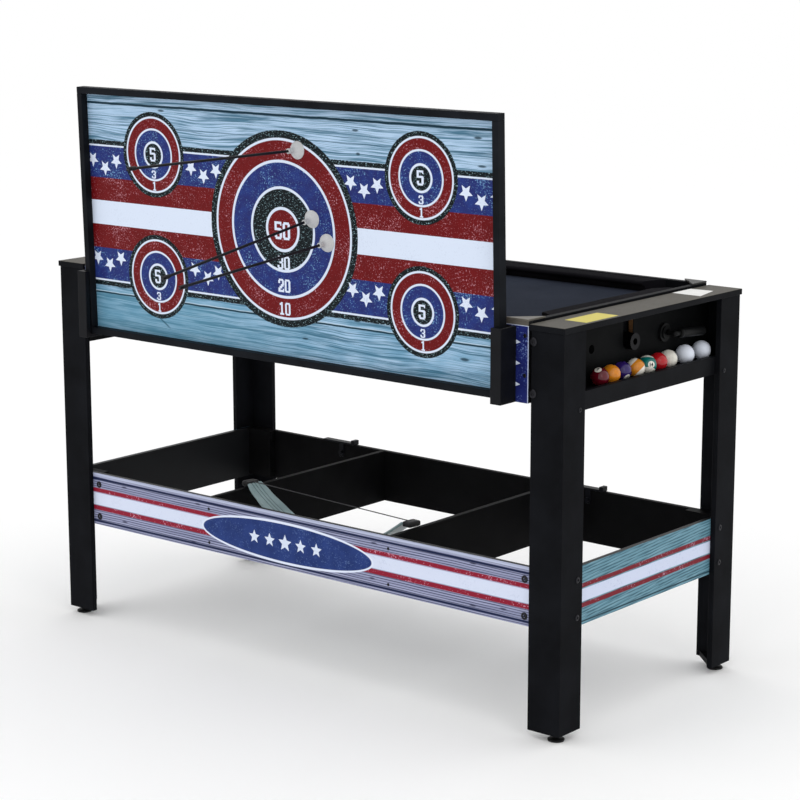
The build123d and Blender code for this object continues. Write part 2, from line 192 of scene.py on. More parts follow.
# ============================================================ material helpers
def srgb(r, g, b):
    return tuple(c / 12.92 if c <= 0.04045 else ((c + 0.055) / 1.055) ** 2.4 for c in (r / 255, g / 255, b / 255)) + (1.0,)


class V:
    """One value or vector in a material's node tree, with arithmetic."""

    def __init__(self, net, sock):
        self.net, self.s = net, sock

    def _m(self, op, *a, clamp=False):
        return self.net.math(op, *a, clamp=clamp)

    def __add__(self, o): return self._m("ADD", self, o)
    def __radd__(self, o): return self._m("ADD", o, self)
    def __sub__(self, o): return self._m("SUBTRACT", self, o)
    def __rsub__(self, o): return self._m("SUBTRACT", o, self)
    def __mul__(self, o): return self._m("MULTIPLY", self, o)
    def __rmul__(self, o): return self._m("MULTIPLY", o, self)
    def __truediv__(self, o): return self._m("DIVIDE", self, o)
    def abs(self): return self._m("ABSOLUTE", self)
    def sqrt(self): return self._m("SQRT", self)
    def pow(self, p): return self._m("POWER", self, p)
    def sin(self): return self._m("SINE", self)


class Net:
    def __init__(self, name, rough=0.5, spec=0.5, metallic=0.0, coat=0.0, coat_rough=0.1, sheen=0.0, base=None):
        self.mat = bpy.data.materials.new(name)
        self.mat.use_nodes = True
        self.nt = self.mat.node_tree
        self.b = self.nt.nodes["Principled BSDF"]
        self.b.inputs["Roughness"].default_value = rough
        self.b.inputs["Specular IOR Level"].default_value = spec
        self.b.inputs["Metallic"].default_value = metallic
        self.b.inputs["Coat Weight"].default_value = coat
        self.b.inputs["Coat Roughness"].default_value = coat_rough
        self.b.inputs["Sheen Weight"].default_value = sheen
        if base:
            self.b.inputs["Base Color"].default_value = base
            self.mat.diffuse_color = base
        self._obj = None

    def node(self, kind, **kw):
        n = self.nt.nodes.new(kind)
        for k, v in kw.items():
            setattr(n, k, v)
        return n

    def put(self, socket, x):
        if isinstance(x, V):
            self.nt.links.new(x.s, socket)
        elif isinstance(x, (tuple, list)) and len(x) == 4 and socket.type == "VECTOR":
            socket.default_value = x[:3]
        else:
            socket.default_value = x

    def math(self, op, *args, clamp=False):
        n = self.node("ShaderNodeMath", operation=op, use_clamp=clamp)
        for i, a in enumerate(args):
            self.put(n.inputs[i], a)
        return V(self, n.outputs[0])

    def xyz(self):
        """Row-frame coordinates in millimetres."""
        if self._obj is None:
            tc = self.node("ShaderNodeTexCoord")
            sp = self.node("ShaderNodeSeparateXYZ")
            self.nt.links.new(tc.outputs["Object"], sp.inputs[0])
            self._obj = [V(self, o) * 1000.0 for o in sp.outputs]
        return self._obj

    def vec(self, x, y, z):
        n = self.node("ShaderNodeCombineXYZ")
        for i, a in enumerate((x, y, z)):
            self.put(n.inputs[i], a)
        return V(self, n.outputs[0])

    def step(self, x, at, w=0.8):
        """0 below at, 1 above, over a width w."""
        n = self.node("ShaderNodeMapRange", clamp=True)
        self.put(n.inputs["Value"], x)
        self.put(n.inputs["From Min"], at - w / 2)
        self.put(n.inputs["From Max"], at + w / 2)
        return V(self, n.outputs[0])

    def inside(self, x, lo, hi, w=0.8):
        n = self.node("ShaderNodeMapRange", clamp=True)
        mid, half = (lo + hi) / 2, (hi - lo) / 2
        d = (x - mid).abs()
        self.put(n.inputs["Value"], d)
        self.put(n.inputs["From Min"], half + w / 2)
        self.put(n.inputs["From Max"], half - w / 2)
        return V(self, n.outputs[0])

    def remap(self, x, a, b, c, d):
        n = self.node("ShaderNodeMapRange", clamp=True)
        for k, q in zip(("Value", "From Min", "From Max", "To Min", "To Max"), (x, a, b, c, d)):
            self.put(n.inputs[k], q)
        return V(self, n.outputs[0])

    def mix(self, f, a, b):
        n = self.node("ShaderNodeMix", data_type="RGBA")
        self.put(n.inputs[0], f)
        self.put(n.inputs[6], a)
        self.put(n.inputs[7], b)
        return V(self, n.outputs[2])

    def noise(self, vec, scale=1.0, detail=2.0, rough=0.5, distort=0.0):
        n = self.node("ShaderNodeTexNoise")
        self.put(n.inputs["Vector"], vec)
        n.inputs["Scale"].default_value = scale
        n.inputs["Detail"].default_value = detail
        n.inputs["Roughness"].default_value = rough
        n.inputs["Distortion"].default_value = distort
        return V(self, n.outputs[0])

    def voronoi(self, vec, scale=1.0, feature="F1"):
        n = self.node("ShaderNodeTexVoronoi", feature=feature)
        self.put(n.inputs["Vector"], vec)
        n.inputs["Scale"].default_value = scale
        return V(self, n.outputs["Distance"])

    def dist(self, x, y, cx, cy):
        dx, dy = x - cx, y - cy
        return (dx * dx + dy * dy).sqrt()

    def color(self, c): self.put(self.b.inputs["Base Color"], c)
    def rough(self, r): self.put(self.b.inputs["Roughness"], r)

    def bump(self, h, strength=0.3, distance=0.0005):
        n = self.node("ShaderNodeBump")
        n.inputs["Strength"].default_value = strength
        n.inputs["Distance"].default_value = distance
        self.put(n.inputs["Height"], h)
        self.nt.links.new(n.outputs[0], self.b.inputs["Normal"])


# ================================================================== materials
M = {}


def mat_laminate(name, tone=(17, 18, 21), rough=0.46, spec=0.02, grain=True, top=None):
    """Black laminated board: faint woodgrain emboss, fine dust of lighter specks; with top, a painted reflection on
    the upward face.
    """
    n = Net(name, rough=rough, spec=spec)
    x, y, z = n.xyz()
    p = n.vec(x, y, z)
    fine = n.noise(p, 0.9, 3, 0.6)
    cloud = n.noise(p, 0.012, 3, 0.55)
    t = tuple(tone)
    dark = srgb(*(max(0, c * 0.80) for c in t))
    lite = srgb(*(min(255, c * 1.22 + 1) for c in t))
    c = n.mix(n.remap(cloud, 0.3, 0.7, 0.0, 1.0), dark, lite)
    speck = n.step(n.noise(p, 1.6, 1, 0.5), 0.77, 0.04)
    c = n.mix(speck * 0.35, c, srgb(70, 72, 76))
    if top:
        # the upward face is painted paler and browner than the edges: a painted reflection of the bright surroundings
        # seen at a grazing angle
        face = n.mix(n.remap(n.noise(n.vec(x * 0.02, y * 0.02, z), 1.0, 3, 0.6), 0.3, 0.7, 0.0, 1.0), srgb(*(q * 0.94 for q in top[1])), srgb(*top[1]))
        c = n.mix(n.step(z, top[0], 0.3), c, face)
    n.color(c)
    n.rough(n.remap(fine, 0.3, 0.7, rough - 0.06, rough + 0.10))
    n.bump(fine, 0.12, 0.0003)
    return n.mat


def speckles(n, x, y, z, seed=0.0, dens=0.0):
    """Worn-print mask: clustered small chips where the colour has rubbed off."""
    p = n.vec(x + seed, y, z)
    chips = n.noise(p, 0.27, 3, 0.70)
    patch = n.noise(p, 0.018, 2, 0.5)
    streak = n.noise(n.vec(x * 0.06 + seed, y * 0.06, z * 0.5), 1.0, 2, 0.6)
    t = chips + (patch - 0.5) * 0.34 + (streak - 0.5) * 0.16
    return n.step(t, 0.632 - dens, 0.025)


def planks(n, x, v, hi=(168, 200, 228), lo=(118, 164, 194), dark=(46, 98, 122), split=270.0):
    """Weathered painted planks with long fine grain."""
    wob = n.noise(n.vec(x * 0.004, v * 0.012, 3.0), 1.0, 2, 0.5)
    vv = v + (wob - 0.5) * 26.0
    g1 = n.noise(n.vec(x * 0.0035, vv * 0.11, 0.0), 1.0, 4, 0.62)
    g2 = n.noise(n.vec(x * 0.006, vv * 0.42, 7.0), 1.0, 3, 0.6)
    g3 = n.noise(n.vec(x * 0.012, vv * 0.03, 11.0), 1.0, 2, 0.5)
    c = n.mix(n.remap(g3, 0.32, 0.68, 0.0, 1.0), srgb(*lo), srgb(*hi))
    upper = n.step(v, split, 60.0)
    c = n.mix(upper * 0.62, c, srgb(186, 211, 238))
    c = n.mix(n.remap(g1, 0.50, 0.60, 0.0, 0.85), c, srgb(*dark))
    g4 = n.noise(n.vec(x * 0.0022, vv * 0.75, 19.0), 1.0, 3, 0.65)
    c = n.mix(n.remap(g4, 0.565, 0.62, 0.0, 0.85), c, srgb(38, 84, 106))
    c = n.mix(n.remap(g2, 0.53, 0.63, 0.0, 0.80), c, srgb(64, 114, 138))
    c = n.mix(n.remap(g2, 0.44, 0.32, 0.0, 0.45), c, srgb(196, 220, 240))
    low = n.math("SUBTRACT", 1.0, n.step(v, 104.0, 14.0)) * n.math("SUBTRACT", 1.0, n.step(x, -40.0, 420.0))
    c = n.mix(low * 0.55, c, srgb(84, 140, 164))
    return c


def mat_target():
    n = Net("target_print", rough=0.40, spec=0.10)
    X, Y, Z = n.xyz()
    th = math.radians(1.6)
    x = X * 1.0
    v = (Z - 664.05) * math.cos(th) - (Y + 341.0) * math.sin(th)
    o = n.vec(x, v, 0.0)
    WHITE, RED, BLUE, BLACK = srgb(214, 225, 243), srgb(108, 14, 18), srgb(34, 42, 104), srgb(8, 14, 18)
    c = planks(n, x, v)
    # seams between the planks and a few knots
    j = (n.noise(n.vec(x * 0.02, 0.0, 0.0), 1.0, 2, 0.5) - 0.5) * 3.0
    vs = v + j
    c = n.mix(n.inside(vs, 505.4, 510.6, 1.6), c, srgb(16, 48, 62))
    c = n.mix(n.inside(vs, 462.0, 464.0, 1.4) * 0.7, c, srgb(30, 76, 96))
    c = n.mix(n.inside(vs, 94.2, 98.0, 1.4), c, srgb(18, 52, 66))
    c = n.mix(n.inside(vs, 98.0, 99.6, 1.0) * 0.6, c, srgb(210, 228, 242))
    for kx, kv, rx, rv in ((508, 491.7, 10, 3), (517, 439, 11, 2.6), (206, 489, 9, 2.6), (212, 443.5, 6, 3), (200, 111, 9, 2.2),
                           (-410, 98, 14, 2.2), (470, 66, 12, 3.4), (-470, 112, 16, 2.4), (-330, 500, 10, 2.6), (60, 60, 9, 2.4)):
        e = n.dist((x - kx) / rx, (v - kv) / rv, 0.0, 0.0)
        c = n.mix(n.remap(e, 0.6, 1.15, 0.85, 0.0), c, srgb(22, 50, 62))
    # a crack with a swirl of grain on the lower left board
    cr = (v - (92.0 - (x + 415.0) * 0.62)).abs()
    c = n.mix(n.remap(cr, 1.0, 3.4, 0.75, 0.0) * n.inside(x, -425, -330, 10), c, srgb(30, 78, 96))
    worn = speckles(n, x, v, 0.0)
    grime = n.noise(o, 0.05, 4, 0.6)
    finer = n.remap(n.noise(n.vec(x * 0.24, v * 0.36, 83.0), 1.0, 3, 0.75), 0.645, 0.67, 0.0, 0.85)
    worn = n.math("MAXIMUM", worn, finer)
    redc = n.mix(worn, n.mix(n.remap(grime, 0.35, 0.65, 0, 0.5), RED, srgb(92, 9, 12)), srgb(190, 130, 142))
    bluec = n.mix(worn, n.mix(n.remap(grime, 0.4, 0.68, 0, 0.8), BLUE, srgb(36, 58, 128)), srgb(112, 156, 198))
    whitec = n.mix(speckles(n, x, v, 40.0, 0.0, ) * 0.3, WHITE, srgb(186, 196, 216))
    weave = n.noise(n.vec(x * 0.22, v * 1.1, 31.0), 1.0, 2, 0.6)
    fine = n.noise(n.vec(x * 0.20, v * 0.34, 47.0), 1.0, 3, 0.75)
    blackc = n.mix(n.remap(weave, 0.54, 0.64, 0.0, 0.35), BLACK, srgb(30, 62, 70))
    blackc = n.mix(n.remap(fine, 0.600, 0.625, 0.0, 0.9), blackc, srgb(160, 196, 206))
    edge = (n.noise(o, 0.22, 3, 0.7) - 0.5) * 3.2
    ve = v + edge * 0.35
    inb = n.inside(v, 113.0 - 0.0, 427.0, 0.8)
    c = n.mix(n.inside(v + edge, 111.8, 428.6, 1.0), c, blackc)
    c = n.mix(n.inside(ve, 122.2, 418.8, 0.8), c, whitec)
    c = n.mix(n.inside(ve, 126.0, 415.2, 0.8), c, bluec)
    c = n.mix(n.inside(ve, 195.0, 347.6, 0.8), c, redc)
    c = n.mix(n.inside(ve, 246.0, 298.0, 0.8), c, whitec)
    d = None
    for cx, cv in ((-358, 406), (-358, 146), (369, 407), (368, 147)):
        q = n.dist(x, v, cx, cv)
        d = q if d is None else n.math("MINIMUM", d, q)
    for r, col, e in ((90, blackc, 1), (80.5, whitec, 0), (76.4, redc, 0), (55.6, whitec, 0), (51.6, bluec, 0), (28.6, whitec, 0), (23.8, blackc, 0)):
        c = n.mix(n.math("SUBTRACT", 1.0, n.step(d + edge * (0.9 if e else 0.25), r, 0.9)), c, col)
    D = n.dist(x, v, 6.5, 278.0)
    for r, col, e in ((200, blackc, 1), (185, whitec, 0), (180, redc, 0), (141, whitec, 0), (135.5, bluec, 0), (87.5, whitec, 0), (82, blackc, 0), (46, whitec, 0), (40, redc, 0)):
        c = n.mix(n.math("SUBTRACT", 1.0, n.step(D + edge * (0.9 if e else 0.25), r, 0.9)), c, col)
    # the back of the board is bare hardboard
    depth = (Y + 341.0) * math.cos(th) + (Z - 668.05) * math.sin(th)
    back = n.mix(n.remap(n.noise(n.vec(X * 0.4, Y * 0.4, Z * 0.4), 1.0, 4, 0.7), 0.3, 0.7, 0.0, 1.0), srgb(86, 64, 46), srgb(112, 86, 62))
    n.color(n.mix(n.step(depth, 19.5, 0.6), c, back))
    n.rough(n.remap(grime, 0.3, 0.7, 0.28, 0.42))
    n.bump(n.noise(n.vec(x * 0.05, v * 0.9, 0.0), 1.0, 2, 0.5), 0.06, 0.0002)
    return n.mat


def stretcher_art(n, x, f, seed=0.0):
    """Lavender fine-lined planks with dark lines, the ground under the navy lines, two red stripes and white one that
    mat_front_stretcher paints on top. f runs 0 at the top to 1 at the bottom.
    """
    wob = (n.noise(n.vec(x * 0.004 + seed, f * 1.2, 0.0), 1.0, 2, 0.5) - 0.5) * 0.06
    line = ((f + wob) * 150.0).sin() * 0.5 + 0.5
    g = n.noise(n.vec(x * 0.005 + seed, f * 70.0, 2.0), 1.0, 3, 0.6)
    lav, lav2, dk = srgb(168, 172, 202), srgb(124, 129, 160), srgb(36, 42, 70)
    c = n.mix(n.remap(g, 0.35, 0.65, 0, 1), lav, lav2)
    c = n.mix(n.remap(line + (g - 0.5) * 0.9, 0.60, 0.92, 0.0, 0.82), c, dk)
    return c


def mat_front_stretcher():
    n = Net("stretcher_print", rough=0.42, spec=0.10)
    x, y, z = n.xyz()
    lo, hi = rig.box("front_stretcher")
    z0, z1 = lo.z * 1000, hi.z * 1000
    f = (z1 - z) / (z1 - z0)
    c = stretcher_art(n, x, f)
    worn = speckles(n, x, z, 5.0, 13.0, 0.004)
    for kx, kf in ((-515, 0.165), (-515, 0.83), (-285, 0.17), (-300, 0.9), (470, 0.14), (470, 0.86), (545, 0.8), (210, 0.80), (215, 0.17), (90, 0.1), (-90, 0.93)):
        e = n.dist((x - kx) / 9.0, (f - kf) / 0.02, 0.0, 0.0)
        c = n.mix(n.remap(e, 0.5, 1.2, 0.8, 0.0), c, srgb(40, 42, 66))
    RED, WHITE, NAVY = srgb(140, 28, 50), srgb(214, 222, 242), srgb(22, 32, 66)
    redc = n.mix(worn * 0.8, RED, srgb(206, 150, 172))
    whitec = n.mix(speckles(n, x, z, 5.0, 77.0) * 0.35, WHITE, srgb(178, 188, 214))
    c = n.mix(n.inside(f, 0.085, 0.125, 0.012), c, NAVY)
    c = n.mix(n.inside(f, 0.905, 0.945, 0.012), c, NAVY)
    c = n.mix(n.math("SUBTRACT", 1.0, n.step(f, 0.055, 0.02)) * 0.65, c, srgb(196, 204, 228))
    c = n.mix(n.inside(f, 0.285, 0.365, 0.010), c, redc)
    c = n.mix(n.inside(f, 0.365, 0.380, 0.006), c, srgb(170, 160, 190))
    c = n.mix(n.inside(f, 0.380, 0.612, 0.008), c, whitec)
    c = n.mix(n.inside(f, 0.625, 0.712, 0.010), c, redc)
    zc = z1 - 0.535 * (z1 - z0)
    ex, ez = (x + 29.8), (z - zc)
    eo = n.dist(ex / 243.7, ez / 45.6, 0.0, 0.0)
    ei = n.dist(ex / 238.6, ez / 40.4, 0.0, 0.0)
    cloud = n.noise(n.vec(x, 0.0, z), 0.03, 3, 0.6)
    badge = n.mix(n.remap(cloud, 0.35, 0.7, 0, 1), srgb(30, 50, 106), srgb(40, 62, 124))
    badge = n.mix(speckles(n, x, z, 5.0, 31.0, 0.0) * 0.35, badge, srgb(120, 150, 200))
    c = n.mix(n.math("SUBTRACT", 1.0, n.step(eo, 1.0, 0.008)), c, srgb(222, 230, 248))
    c = n.mix(n.math("SUBTRACT", 1.0, n.step(ei, 1.0, 0.008)), c, badge)
    # printed face only: the other faces are plain black board
    face = n.math("SUBTRACT", 1.0, n.step(y, lo.y * 1000 + 1.4, 0.6))
    n.color(n.mix(face, srgb(22, 23, 25), c))
    n.bump(n.noise(n.vec(x * 0.05, y, z * 0.9), 1.0, 2, 0.5), 0.05, 0.0002)
    return n.mat


def mat_end_stretcher():
    n = Net("end_print", rough=0.42, spec=0.10)
    x, y, z = n.xyz()
    lo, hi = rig.box("end_stretchers")
    z0, z1 = lo.z * 1000, hi.z * 1000
    f = (z1 - z) / (z1 - z0)
    diag = n.noise(n.vec(y * 0.006, (f * 30.0 + y * 0.03), 0.0), 1.0, 3, 0.6)
    line = ((f * 120.0) + y * 0.05 + (diag - 0.5) * 9.0).sin() * 0.5 + 0.5
    c = n.mix(n.remap(diag, 0.35, 0.65, 0, 1), srgb(86, 130, 146), srgb(122, 162, 178))
    c = n.mix(n.remap(line, 0.55, 0.92, 0, 0.75), c, srgb(38, 78, 94))
    worn = speckles(n, y, z, 9.0, 55.0, 0.004)
    redc = n.mix(worn * 0.8, srgb(118, 26, 40), srgb(180, 140, 160))
    whitec = n.mix(speckles(n, y, z, 9.0, 99.0) * 0.4, srgb(206, 214, 236), srgb(160, 172, 204))
    c = n.mix(n.inside(f, 0.30, 0.375, 0.010), c, redc)
    c = n.mix(n.inside(f, 0.395, 0.61, 0.010), c, whitec)
    c = n.mix(n.inside(f, 0.63, 0.71, 0.010), c, redc)
    c = n.mix(n.inside(f, 0.93, 0.955, 0.010), c, srgb(28, 58, 70))
    face = n.step(x.abs(), hi.x * 1000 - 1.4, 0.6)
    n.color(n.mix(face, srgb(22, 23, 25), c))
    n.bump(n.noise(n.vec(y * 0.05, x, z * 0.9), 1.0, 2, 0.5), 0.05, 0.0002)
    return n.mat


def mat_apron():
    n = Net("apron_print", rough=0.42, spec=0.10)
    x, y, z = n.xyz()
    lo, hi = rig.box("front_apron")
    z0, z1 = lo.z * 1000, hi.z * 1000
    worn = speckles(n, x, z, 3.0, 21.0, 0.0)
    cloud = n.noise(n.vec(x, 0.0, z), 0.03, 3, 0.6)
    c = n.mix(n.remap(cloud, 0.35, 0.7, 0, 1), srgb(24, 30, 88), srgb(34, 44, 112))
    c = n.mix(worn * 0.8, c, srgb(112, 134, 190))
    redc = n.mix(worn * 0.8, srgb(128, 22, 30), srgb(196, 140, 150))
    mid = n.math("SUBTRACT", 1.0, n.step(x.abs(), 540.0, 0.8))
    c = n.mix(n.math("SUBTRACT", 1.0, n.step(z, z0 + 22.0, 0.8)) * mid, c, redc)
    c = n.mix(n.inside(z, z0 + 22.0, z0 + 26.0, 0.8) * mid, c, srgb(216, 225, 243))
    c = n.mix(n.step(x.abs(), 607.1, 0.5), c, srgb(196, 206, 232))
    c = n.mix(n.step(z, z1 - 9.6, 0.5), c, srgb(206, 215, 236))
    c = n.mix(n.step(z, z1 - 8.4, 0.5), c, n.mix(n.step(x.abs(), 552.0, 0.8), srgb(18, 19, 22), srgb(92, 88, 82)))
    face = n.math("SUBTRACT", 1.0, n.step(y, lo.y * 1000 + 1.4, 0.6))
    n.color(n.mix(face, srgb(24, 25, 27), c))
    n.bump(n.noise(n.vec(x * 0.05, y, z * 0.9), 1.0, 2, 0.5), 0.05, 0.0002)
    return n.mat


def mat_header_panel():
    """Black board whose cut slot shows the brown fibreboard core."""
    n = Net("black_laminate_slot", rough=0.48, spec=0.02)
    x, y, z = n.xyz()
    p = n.vec(x, y, z)
    cloud = n.noise(p, 0.012, 3, 0.55)
    c = n.mix(n.remap(cloud, 0.3, 0.7, 0, 1), srgb(13, 14, 15), srgb(20, 21, 22))
    fib = n.noise(n.vec(x * 0.6, y * 0.6, z * 0.6), 2.0, 4, 0.7)
    core = n.mix(n.remap(fib, 0.3, 0.7, 0, 1), srgb(86, 58, 38), srgb(132, 98, 66))
    inx = n.inside(x.abs(), 613.2, 622.8, 0.4)
    iny = n.inside(y, -17.9, 17.9, 0.5) * n.step(z, 722.0, 0.5)
    n.color(n.mix(inx * iny, c, core))
    n.bump(n.noise(p, 0.9, 3, 0.6), 0.12, 0.0003)
    return n.mat


def mat_felt(name, a, b, lint=(120, 124, 132)):
    n = Net(name, rough=0.95, spec=0.03, sheen=0.0)
    n.b.inputs["Sheen Roughness"].default_value = 0.5
    x, y, z = n.xyz()
    p = n.vec(x, y, z)
    nap = n.noise(n.vec(x * 0.35, y * 1.4, z), 1.0, 4, 0.7)
    big = n.noise(p, 0.006, 3, 0.5)
    c = n.mix(n.remap(nap, 0.3, 0.7, 0, 1), srgb(*a), srgb(*b))
    c = n.mix(n.remap(big, 0.35, 0.7, 0.0, 0.35), c, srgb(*(min(255, q * 1.25) for q in b)))
    c = n.mix(n.step(n.noise(p, 1.1, 2, 0.5), 0.76, 0.03) * 0.4, c, srgb(*lint))
    n.color(c)
    n.bump(n.noise(p, 1.7, 3, 0.7), 0.5, 0.0004)
    return n.mat


def mat_plastic(name, tone, rough=0.45, spec=0.4, coat=0.0, var=1.12, peel=0.10, grain=1.1):
    n = Net(name, rough=rough, spec=spec, coat=coat)
    x, y, z = n.xyz()
    p = n.vec(x, y, z)
    f = n.noise(p, grain, 3, 0.6)
    big = n.noise(p, 0.03, 2, 0.5)
    c = n.mix(n.remap(big, 0.3, 0.7, 0, 1), srgb(*(q / var for q in tone)), srgb(*(min(255, q * var) for q in tone)))
    n.color(c)
    n.rough(n.remap(f, 0.3, 0.7, max(0.04, rough - 0.07), rough + 0.09))
    n.bump(f, peel, 0.0003)
    return n.mat


def mat_cover():
    """Moulded corner covers in one plastic, painted in two tones: the front pair paler as a painted sheen, the back
    pair darker as painted shade.
    """
    n = Net("pocket_plastic", rough=0.42, spec=0.2)
    x, y, z = n.xyz()
    p = n.vec(x, y, z)
    # painted light: the front pair (y below 0) take a pale painted sheen, the back pair a dark painted shade
    near_painted_sheen = n.mix(n.remap(n.noise(p, 0.05, 3, 0.6), 0.3, 0.7, 0, 1), srgb(92, 89, 82), srgb(106, 102, 95))
    far_painted_shade = n.mix(n.remap(n.noise(p, 0.05, 3, 0.6), 0.3, 0.7, 0, 1), srgb(38, 37, 36), srgb(50, 49, 47))
    n.color(n.mix(n.step(y, 0.0, 1.0), near_painted_sheen, far_painted_shade))
    n.bump(n.noise(p, 1.1, 3, 0.6), 0.10, 0.0003)
    return n.mat


def mat_metal(name, tone, rough=0.3):
    n = Net(name, rough=rough, spec=0.5, metallic=1.0)
    x, y, z = n.xyz()
    f = n.noise(n.vec(x * 0.15, y * 2.2, z * 2.2), 1.0, 3, 0.6)
    n.color(n.mix(n.remap(f, 0.3, 0.7, 0, 1), srgb(*(q * 0.82 for q in tone)), srgb(*tone)))
    n.rough(n.remap(f, 0.3, 0.7, rough - 0.06, rough + 0.12))
    n.bump(f, 0.08, 0.0002)
    return n.mat


def mat_ink(name, tone=(216, 226, 244), worn_tone=(140, 156, 198)):
    n = Net(name, rough=0.40, spec=0.10)
    x, y, z = n.xyz()
    w = speckles(n, x, z, 0.0, 60.0)
    n.color(n.mix(w * 0.45, srgb(*tone), srgb(*worn_tone)))
    n.bump(n.noise(n.vec(x, y, z), 0.9, 2, 0.5), 0.05, 0.0002)
    return n.mat


def mat_ball(name, centre, kind, tone, dots=(), stripe_axis=(0, 0, 1), band=0.52):
    """Polished resin ball: solid or striped, with white number dots."""
    n = Net(name, rough=0.06, spec=0.35, coat=0.15, coat_rough=0.02)
    x, y, z = n.xyz()
    dx, dy, dz = (x - centre[0]) / 19.0, (y - centre[1]) / 19.0, (z - centre[2]) / 19.0
    cloud = n.noise(n.vec(x, y, z), 0.10, 3, 0.6)
    ivory = n.mix(n.remap(cloud, 0.3, 0.7, 0, 1), srgb(226, 222, 210), srgb(240, 237, 228))
    body = n.mix(n.remap(cloud, 0.3, 0.7, 0, 1), srgb(*(q * 0.88 for q in tone)), srgb(*tone))
    c = body
    if kind == "stripe":
        a = Vector(stripe_axis).normalized()
        h = (dx * a.x + dy * a.y + dz * a.z).abs()
        c = n.mix(n.step(h, band, 0.03), body, ivory)
    elif kind == "line":
        a = Vector(stripe_axis).normalized()
        h = dx * a.x + dy * a.y + dz * a.z
        c = n.mix(n.inside(h, band - 0.05, band + 0.05, 0.02), body, ivory)
    for d in dots:
        a = Vector(d).normalized()
        h = dx * a.x + dy * a.y + dz * a.z
        c = n.mix(n.step(h, 0.925, 0.010), c, ivory)
    n.color(c)
    n.bump(n.noise(n.vec(x, y, z), 0.5, 2, 0.5), 0.02, 0.0002)
    return n.mat


def mat_limb():
    n = Net("bow_teal", rough=0.30, spec=0.45)
    x, y, z = n.xyz()
    p = n.vec(x, y, z)
    cloud = n.noise(p, 0.02, 3, 0.5)
    a = math.radians(5.1)
    across = ((x + 9.0) * math.sin(a) + (y + 182.0) * math.cos(a))
    c = n.mix(n.remap(cloud, 0.3, 0.7, 0, 1), srgb(126, 148, 150), srgb(150, 172, 174))
    rib = n.inside(across, -1.1, 1.1, 0.6)
    rib = n.math("MAXIMUM", rib, n.inside(across, 7.6, 9.8, 0.6))
    rib = n.math("MAXIMUM", rib, n.inside(across, -9.8, -7.6, 0.6))
    c = n.mix(rib * 0.8, c, srgb(70, 92, 96))
    n.color(c)
    n.bump(n.noise(p, 0.8, 2, 0.5), 0.06, 0.0003)
    return n.mat


def mat_rubber(name, tone, rough=0.5, sub=0.0):
    n = Net(name, rough=rough, spec=0.4)
    if sub:
        n.b.inputs["Subsurface Weight"].default_value = sub
        n.b.inputs["Subsurface Radius"].default_value = (0.006, 0.006, 0.006)
        n.b.inputs["Subsurface Scale"].default_value = 0.5
    x, y, z = n.xyz()
    p = n.vec(x, y, z)
    f = n.noise(p, 0.5, 3, 0.6)
    n.color(n.mix(n.remap(f, 0.3, 0.7, 0, 1), srgb(*(q * 0.92 for q in tone)), srgb(*tone)))
    n.bump(n.noise(p, 1.4, 3, 0.6), 0.10, 0.0003)
    return n.mat


def mat_paper(name, tone):
    n = Net(name, rough=0.6, spec=0.25)
    x, y, z = n.xyz()
    f = n.noise(n.vec(x, y, z), 1.0, 4, 0.7)
    n.color(n.mix(n.remap(f, 0.3, 0.7, 0, 1), srgb(*(q * 0.93 for q in tone)), srgb(*tone)))
    n.bump(f, 0.15, 0.0002)
    return n.mat


M["black_laminate"] = mat_laminate("black_laminate")
# top: above this height the upward face is painted paler and browner, as a painted reflection
M["header"] = mat_laminate("header_laminate", tone=(17, 18, 21), rough=0.44, spec=0.03, top=(812.6, (92, 89, 83)))
M["panel_slot"] = mat_header_panel()
M["tray_black"] = mat_laminate("tray_laminate", tone=(13, 13, 14), rough=0.5, spec=0.03)
M["target_frame"] = mat_laminate("target_frame", tone=(22, 24, 28), rough=0.44, spec=0.03)
M["target_print"] = mat_target()
M["stretcher_print"] = mat_front_stretcher()
M["end_print"] = mat_end_stretcher()
M["apron_print"] = mat_apron()
M["pool_cloth"] = mat_felt("pool_cloth", (33, 37, 47), (45, 50, 61), lint=(86, 90, 100))
M["cushion_cloth"] = mat_felt("cushion_cloth", (13, 13, 16), (25, 24, 28), lint=(60, 60, 66))
M["socket_plastic"] = mat_plastic("socket_plastic", (15, 16, 20), rough=0.42, spec=0.10)
M["pin_plastic"] = mat_plastic("pin_plastic", (15, 16, 17), rough=0.40, spec=0.10)
M["foot_plastic"] = mat_plastic("foot_plastic", (18, 18, 19), rough=0.5, spec=0.2)
M["pocket_plastic"] = mat_cover()
M["hockey_white"] = mat_plastic("hockey_white", (226, 229, 234), rough=0.16, spec=0.5, coat=0.3, var=1.005, peel=0.02)
M["screw_black"] = mat_metal("screw_black", (50, 50, 54), rough=0.30)
M["tube_steel"] = mat_metal("tube_steel", (27, 27, 30), rough=0.40)
M["bed_board"] = mat_paper("bed_board", (150, 118, 84))
M["arrow_shaft"] = mat_plastic("arrow_shaft", (20, 20, 23), rough=0.4, spec=0.2)
M["arrow_cup"] = mat_rubber("arrow_cup", (204, 205, 206), rough=0.34, sub=0.25)
M["bow_teal"] = mat_limb()
M["bow_black"] = mat_rubber("bow_black", (14, 14, 15), rough=0.55)
M["bow_string"] = mat_rubber("bow_string", (60, 60, 62), rough=0.8)
M["ink_white"] = mat_ink("ink_white")
M["ball_white"] = None
M["label_yellow"] = mat_paper("label_yellow", (222, 208, 104))
M["label_white"] = mat_paper("label_white", (240, 240, 238))


# =============================================================== mesh helpers
def link(name, me, body, slot=None, replaces=(), mat=None):
    o = bpy.data.objects.new(name, me)
    SCENE.collection.objects.link(o)
    if mat is not None:
        o.data.materials.clear()
        o.data.materials.append(mat)
    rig.ride(o, body)
    if replaces:
        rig.replaces(o, *replaces)
    if slot:
        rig.slot(o, slot)
    return o


